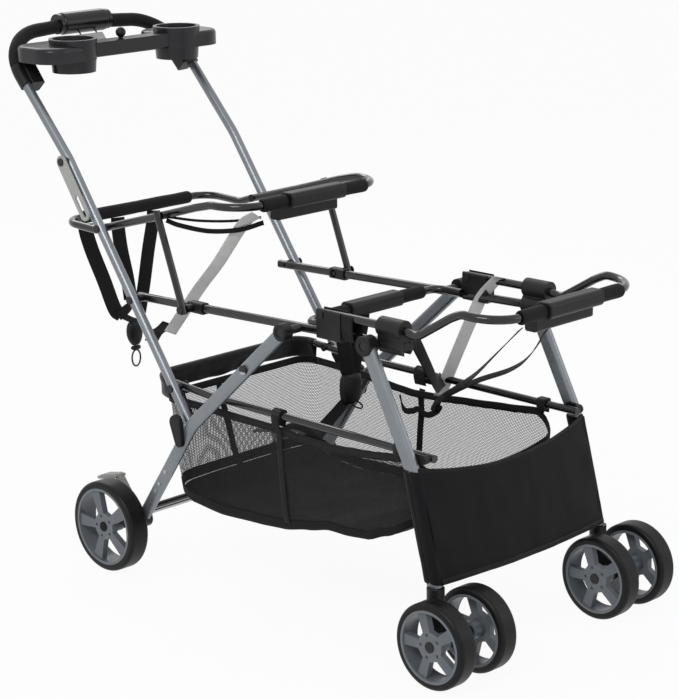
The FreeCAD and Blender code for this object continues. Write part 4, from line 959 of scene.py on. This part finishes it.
# tapes on the ring
ringTapes = {
    "rearLabelTape": {"points": [(-112, 138, 704), (-118, 160, 690), (-120, 185, 662), (-120, 235, 602),
                                 (-120, 290, 545), (-120, 345, 482), (-120, 378, 444)],
                      "wide": 24, "facing": slanted, "paint": labelPaint, "thick": 0.9},
    "rearLabelEnd": {"points": [(-120, 383, 462), (-120, 398, 450), (-120, 420, 436), (-120, 436, 416)],
                     "wide": 25, "facing": slanted, "thick": 2.4},
    "ringTapeLow": {"points": [(-187, 300, 684), (-176, 276, 676), (-150, 225, 668), (-124, 170, 674),
                               (-98, 134, 688)], "wide": 9, "facing": level, "thick": 2.0},
    "ringTapeHigh": {"points": [(-187, 292, 691), (-160, 240, 687), (-130, 180, 690), (-98, 140, 697)],
                     "wide": 5, "facing": level, "thick": 1.4},
}
for name, cut in ringTapes.items():
    strap(name, "ring", **cut)

# straps below the front seat bar, with y measured from it
frontStraps = {
    "plane": -45.0,
    "foldTo": 533.0,
    "bands": {
        "frontStrapLeft": {"points": [(-84, 0, 534), (-80, 0, 510), (-72, 0, 470), (-64, 0, 424)],
                           "wide": 28, "facing": turned, "stands": ("front_harness",)},
        "frontStrapRight": {"points": [(-26, 0, 534), (-30, 0, 510), (-44, 0, 466), (-54, 0, 424)],
                            "wide": 27, "facing": turned},
        "frontTail": {"points": [(-66, 0, 386), (-78, 2, 374), (-104, 3, 356), (-130, 3, 340)],
                      "wide": 28, "facing": ((1, 0, 0.3), (1, 0, 0.4)), "thick": 2.4},
    },
    "pouch": [(-60, 0, 430, 18, 6), (-60, 0, 426, 24, 9), (-60, 0, 410, 25, 11), (-60, 0, 392, 25, 11),
              (-60, 0, 378, 22, 9.5), (-60, 0, 372, 18, 7)],
    "ring": {"centre": (-43, 0, 366), "up": (0, 3, 6), "side": (13, 0, -5), "radius": 1.6},
}


def flattened(made):
    spot(0, 0, frontStraps["foldTo"])
    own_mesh(made)


def makeFrontStraps():
    plane = frontStraps["plane"]
    for name, cut in frontStraps["bands"].items():
        flattened(strap(name, "frame", **{**cut, "points": offPlane(plane, cut["points"])}))
    pouch = offPlane(plane, frontStraps["pouch"])
    flattened(loft("frontBuckle", "frame", paints["black_plastic"], pouch))
    flattened(buckleRing("frontRing", "frame", plane, frontStraps["ring"]))


makeFrontStraps()

# the pale tape, the belt that crosses under the front seat, and two narrow tapes
frontTapes = {
    "frontLabelTape": {"points": [(178, -196, 588), (180, -184, 580), (181, -150, 545), (181, -124, 498),
                                  (182, -100, 452), (184, -68, 390), (187, -38, 330)],
                       "wide": 24, "facing": slanted, "paint": labelPaint, "thick": 0.9},
    "crossBelt": {"points": [(-178, -300, 556), (-150, -285, 556), (-100, -238, 536), (-38, -184, 509),
                             (-8, -178, 468), (26, -172, 420), (80, -130, 392), (140, -80, 374),
                             (188, -45, 367)],
                  "wide": 27, "facing": ((0.75, -0.35, 0.45), (0.3, 0.6, 0.6)), "thick": 2.0},
    "tapeOne": {"points": [(-40, -428, 571), (10, -333, 503), (60, -239, 437), (110, -150, 385),
                           (160, -64, 336), (186, -30, 305)],
                "wide": 12, "facing": ((1, 0, 0.3), (0, 1, 0.5)), "thick": 1.6},
    "tapeTwo": {"points": [(-10, -468, 581), (20, -400, 510), (50, -330, 465), (110, -196, 406),
                           (160, -66, 338), (186, -20, 300)],
                "wide": 11, "facing": ((1, 0, 0.3), (0, 1, 0.5)), "thick": 1.6},
}
for name, cut in frontTapes.items():
    flattened(strap(name, "frame", **cut))

# webbing wrapped round the near rail and the bar on it, given in x and z
nearWrap = {"y": -175, "wide": 28, "loop": ((-185, 533.5), (-195, 538), (-199, 558), (-198, 578), (-190, 582),
                                            (-180, 578), (-175.5, 558), (-176, 538), (-185, 533.5))}
strap("nearWrap", "frame", [(x, nearWrap["y"], z) for x, z in nearWrap["loop"]], nearWrap["wide"], (0, 1, 0),
      thick=1.6, step=3.0)
print("straps made")

studio = {
    "floor": 0.92,
    "glow": 0.94,           # share of plain white in what the camera sees of the floor
    "diffuse": 0.5,
    "white": 1.0,
    "half": 12.0,           # metres, from the middle of the floor to its edge
    "under": -0.0015,
    # place, aim, size and power of each lamp
    "lamps": {
        "keyLight": ((-2.6, -1.2, 2.8), (0, 0, 0.5), (1.4, 1.0), 42),
        "fillLight": ((1.6, -3.0, 1.8), (0, 0, 0.4), (2.2, 1.4), 12),
        "backLight": ((1.2, 2.8, 2.6), (0, 0, 0.5), (2.2, 1.0), 22),
    },
}


def areaLight(name, place, aim, size, power):
    data = bpy.data.lights.new(name, "AREA")
    data.shape = "RECTANGLE"
    data.size, data.size_y = size
    data.energy = power
    lamp = bpy.data.objects.new(name, data)
    scene.collection.objects.link(lamp)
    lamp.location = place
    lamp.rotation_euler = (Vector(aim) - Vector(place)).to_track_quat("-Z", "Y").to_euler()


for name, lamp in studio["lamps"].items():
    areaLight(name, *lamp)


world = bpy.data.worlds.new("studio")
scene.world = world
world.use_nodes = True
sky = Graph(world.node_tree)
backdrop = sky.tree.nodes["Background"]
backdrop.inputs["Color"].default_value = (1, 1, 1, 1)
shown = sky.node("ShaderNodeMix", None, {0: sky.seen(), 2: studio["diffuse"], 3: studio["white"]})
sky.join(shown, backdrop.inputs["Strength"])

ground = bpy.data.meshes.new("ground")
corners = [(a * studio["half"], b * studio["half"], studio["under"])
           for a, b in ((-1, -1), (1, -1), (1, 1), (-1, 1))]
ground.from_pydata(corners, [], [(0, 1, 2, 3)])
groundPiece = bpy.data.objects.new("ground", ground)
scene.collection.objects.link(groundPiece)
floorColour = (*(studio["floor"],) * 3, 1)
floorPaint = Paint("floorPaint", Base_Color=floorColour, Roughness=0.9, Specular_IOR_Level=0.0)
mixed = floorPaint.node("ShaderNodeMixShader", None, {0: floorPaint.seen() * studio["glow"],
                                                      1: Wire(floorPaint, floorPaint.shader.outputs[0]),
                                                      2: floorPaint.node("ShaderNodeEmission")})
floorPaint.join(mixed, floorPaint.tree.nodes["Material Output"].inputs["Surface"])
ground.materials.append(floorPaint.material)
print("studio lit")
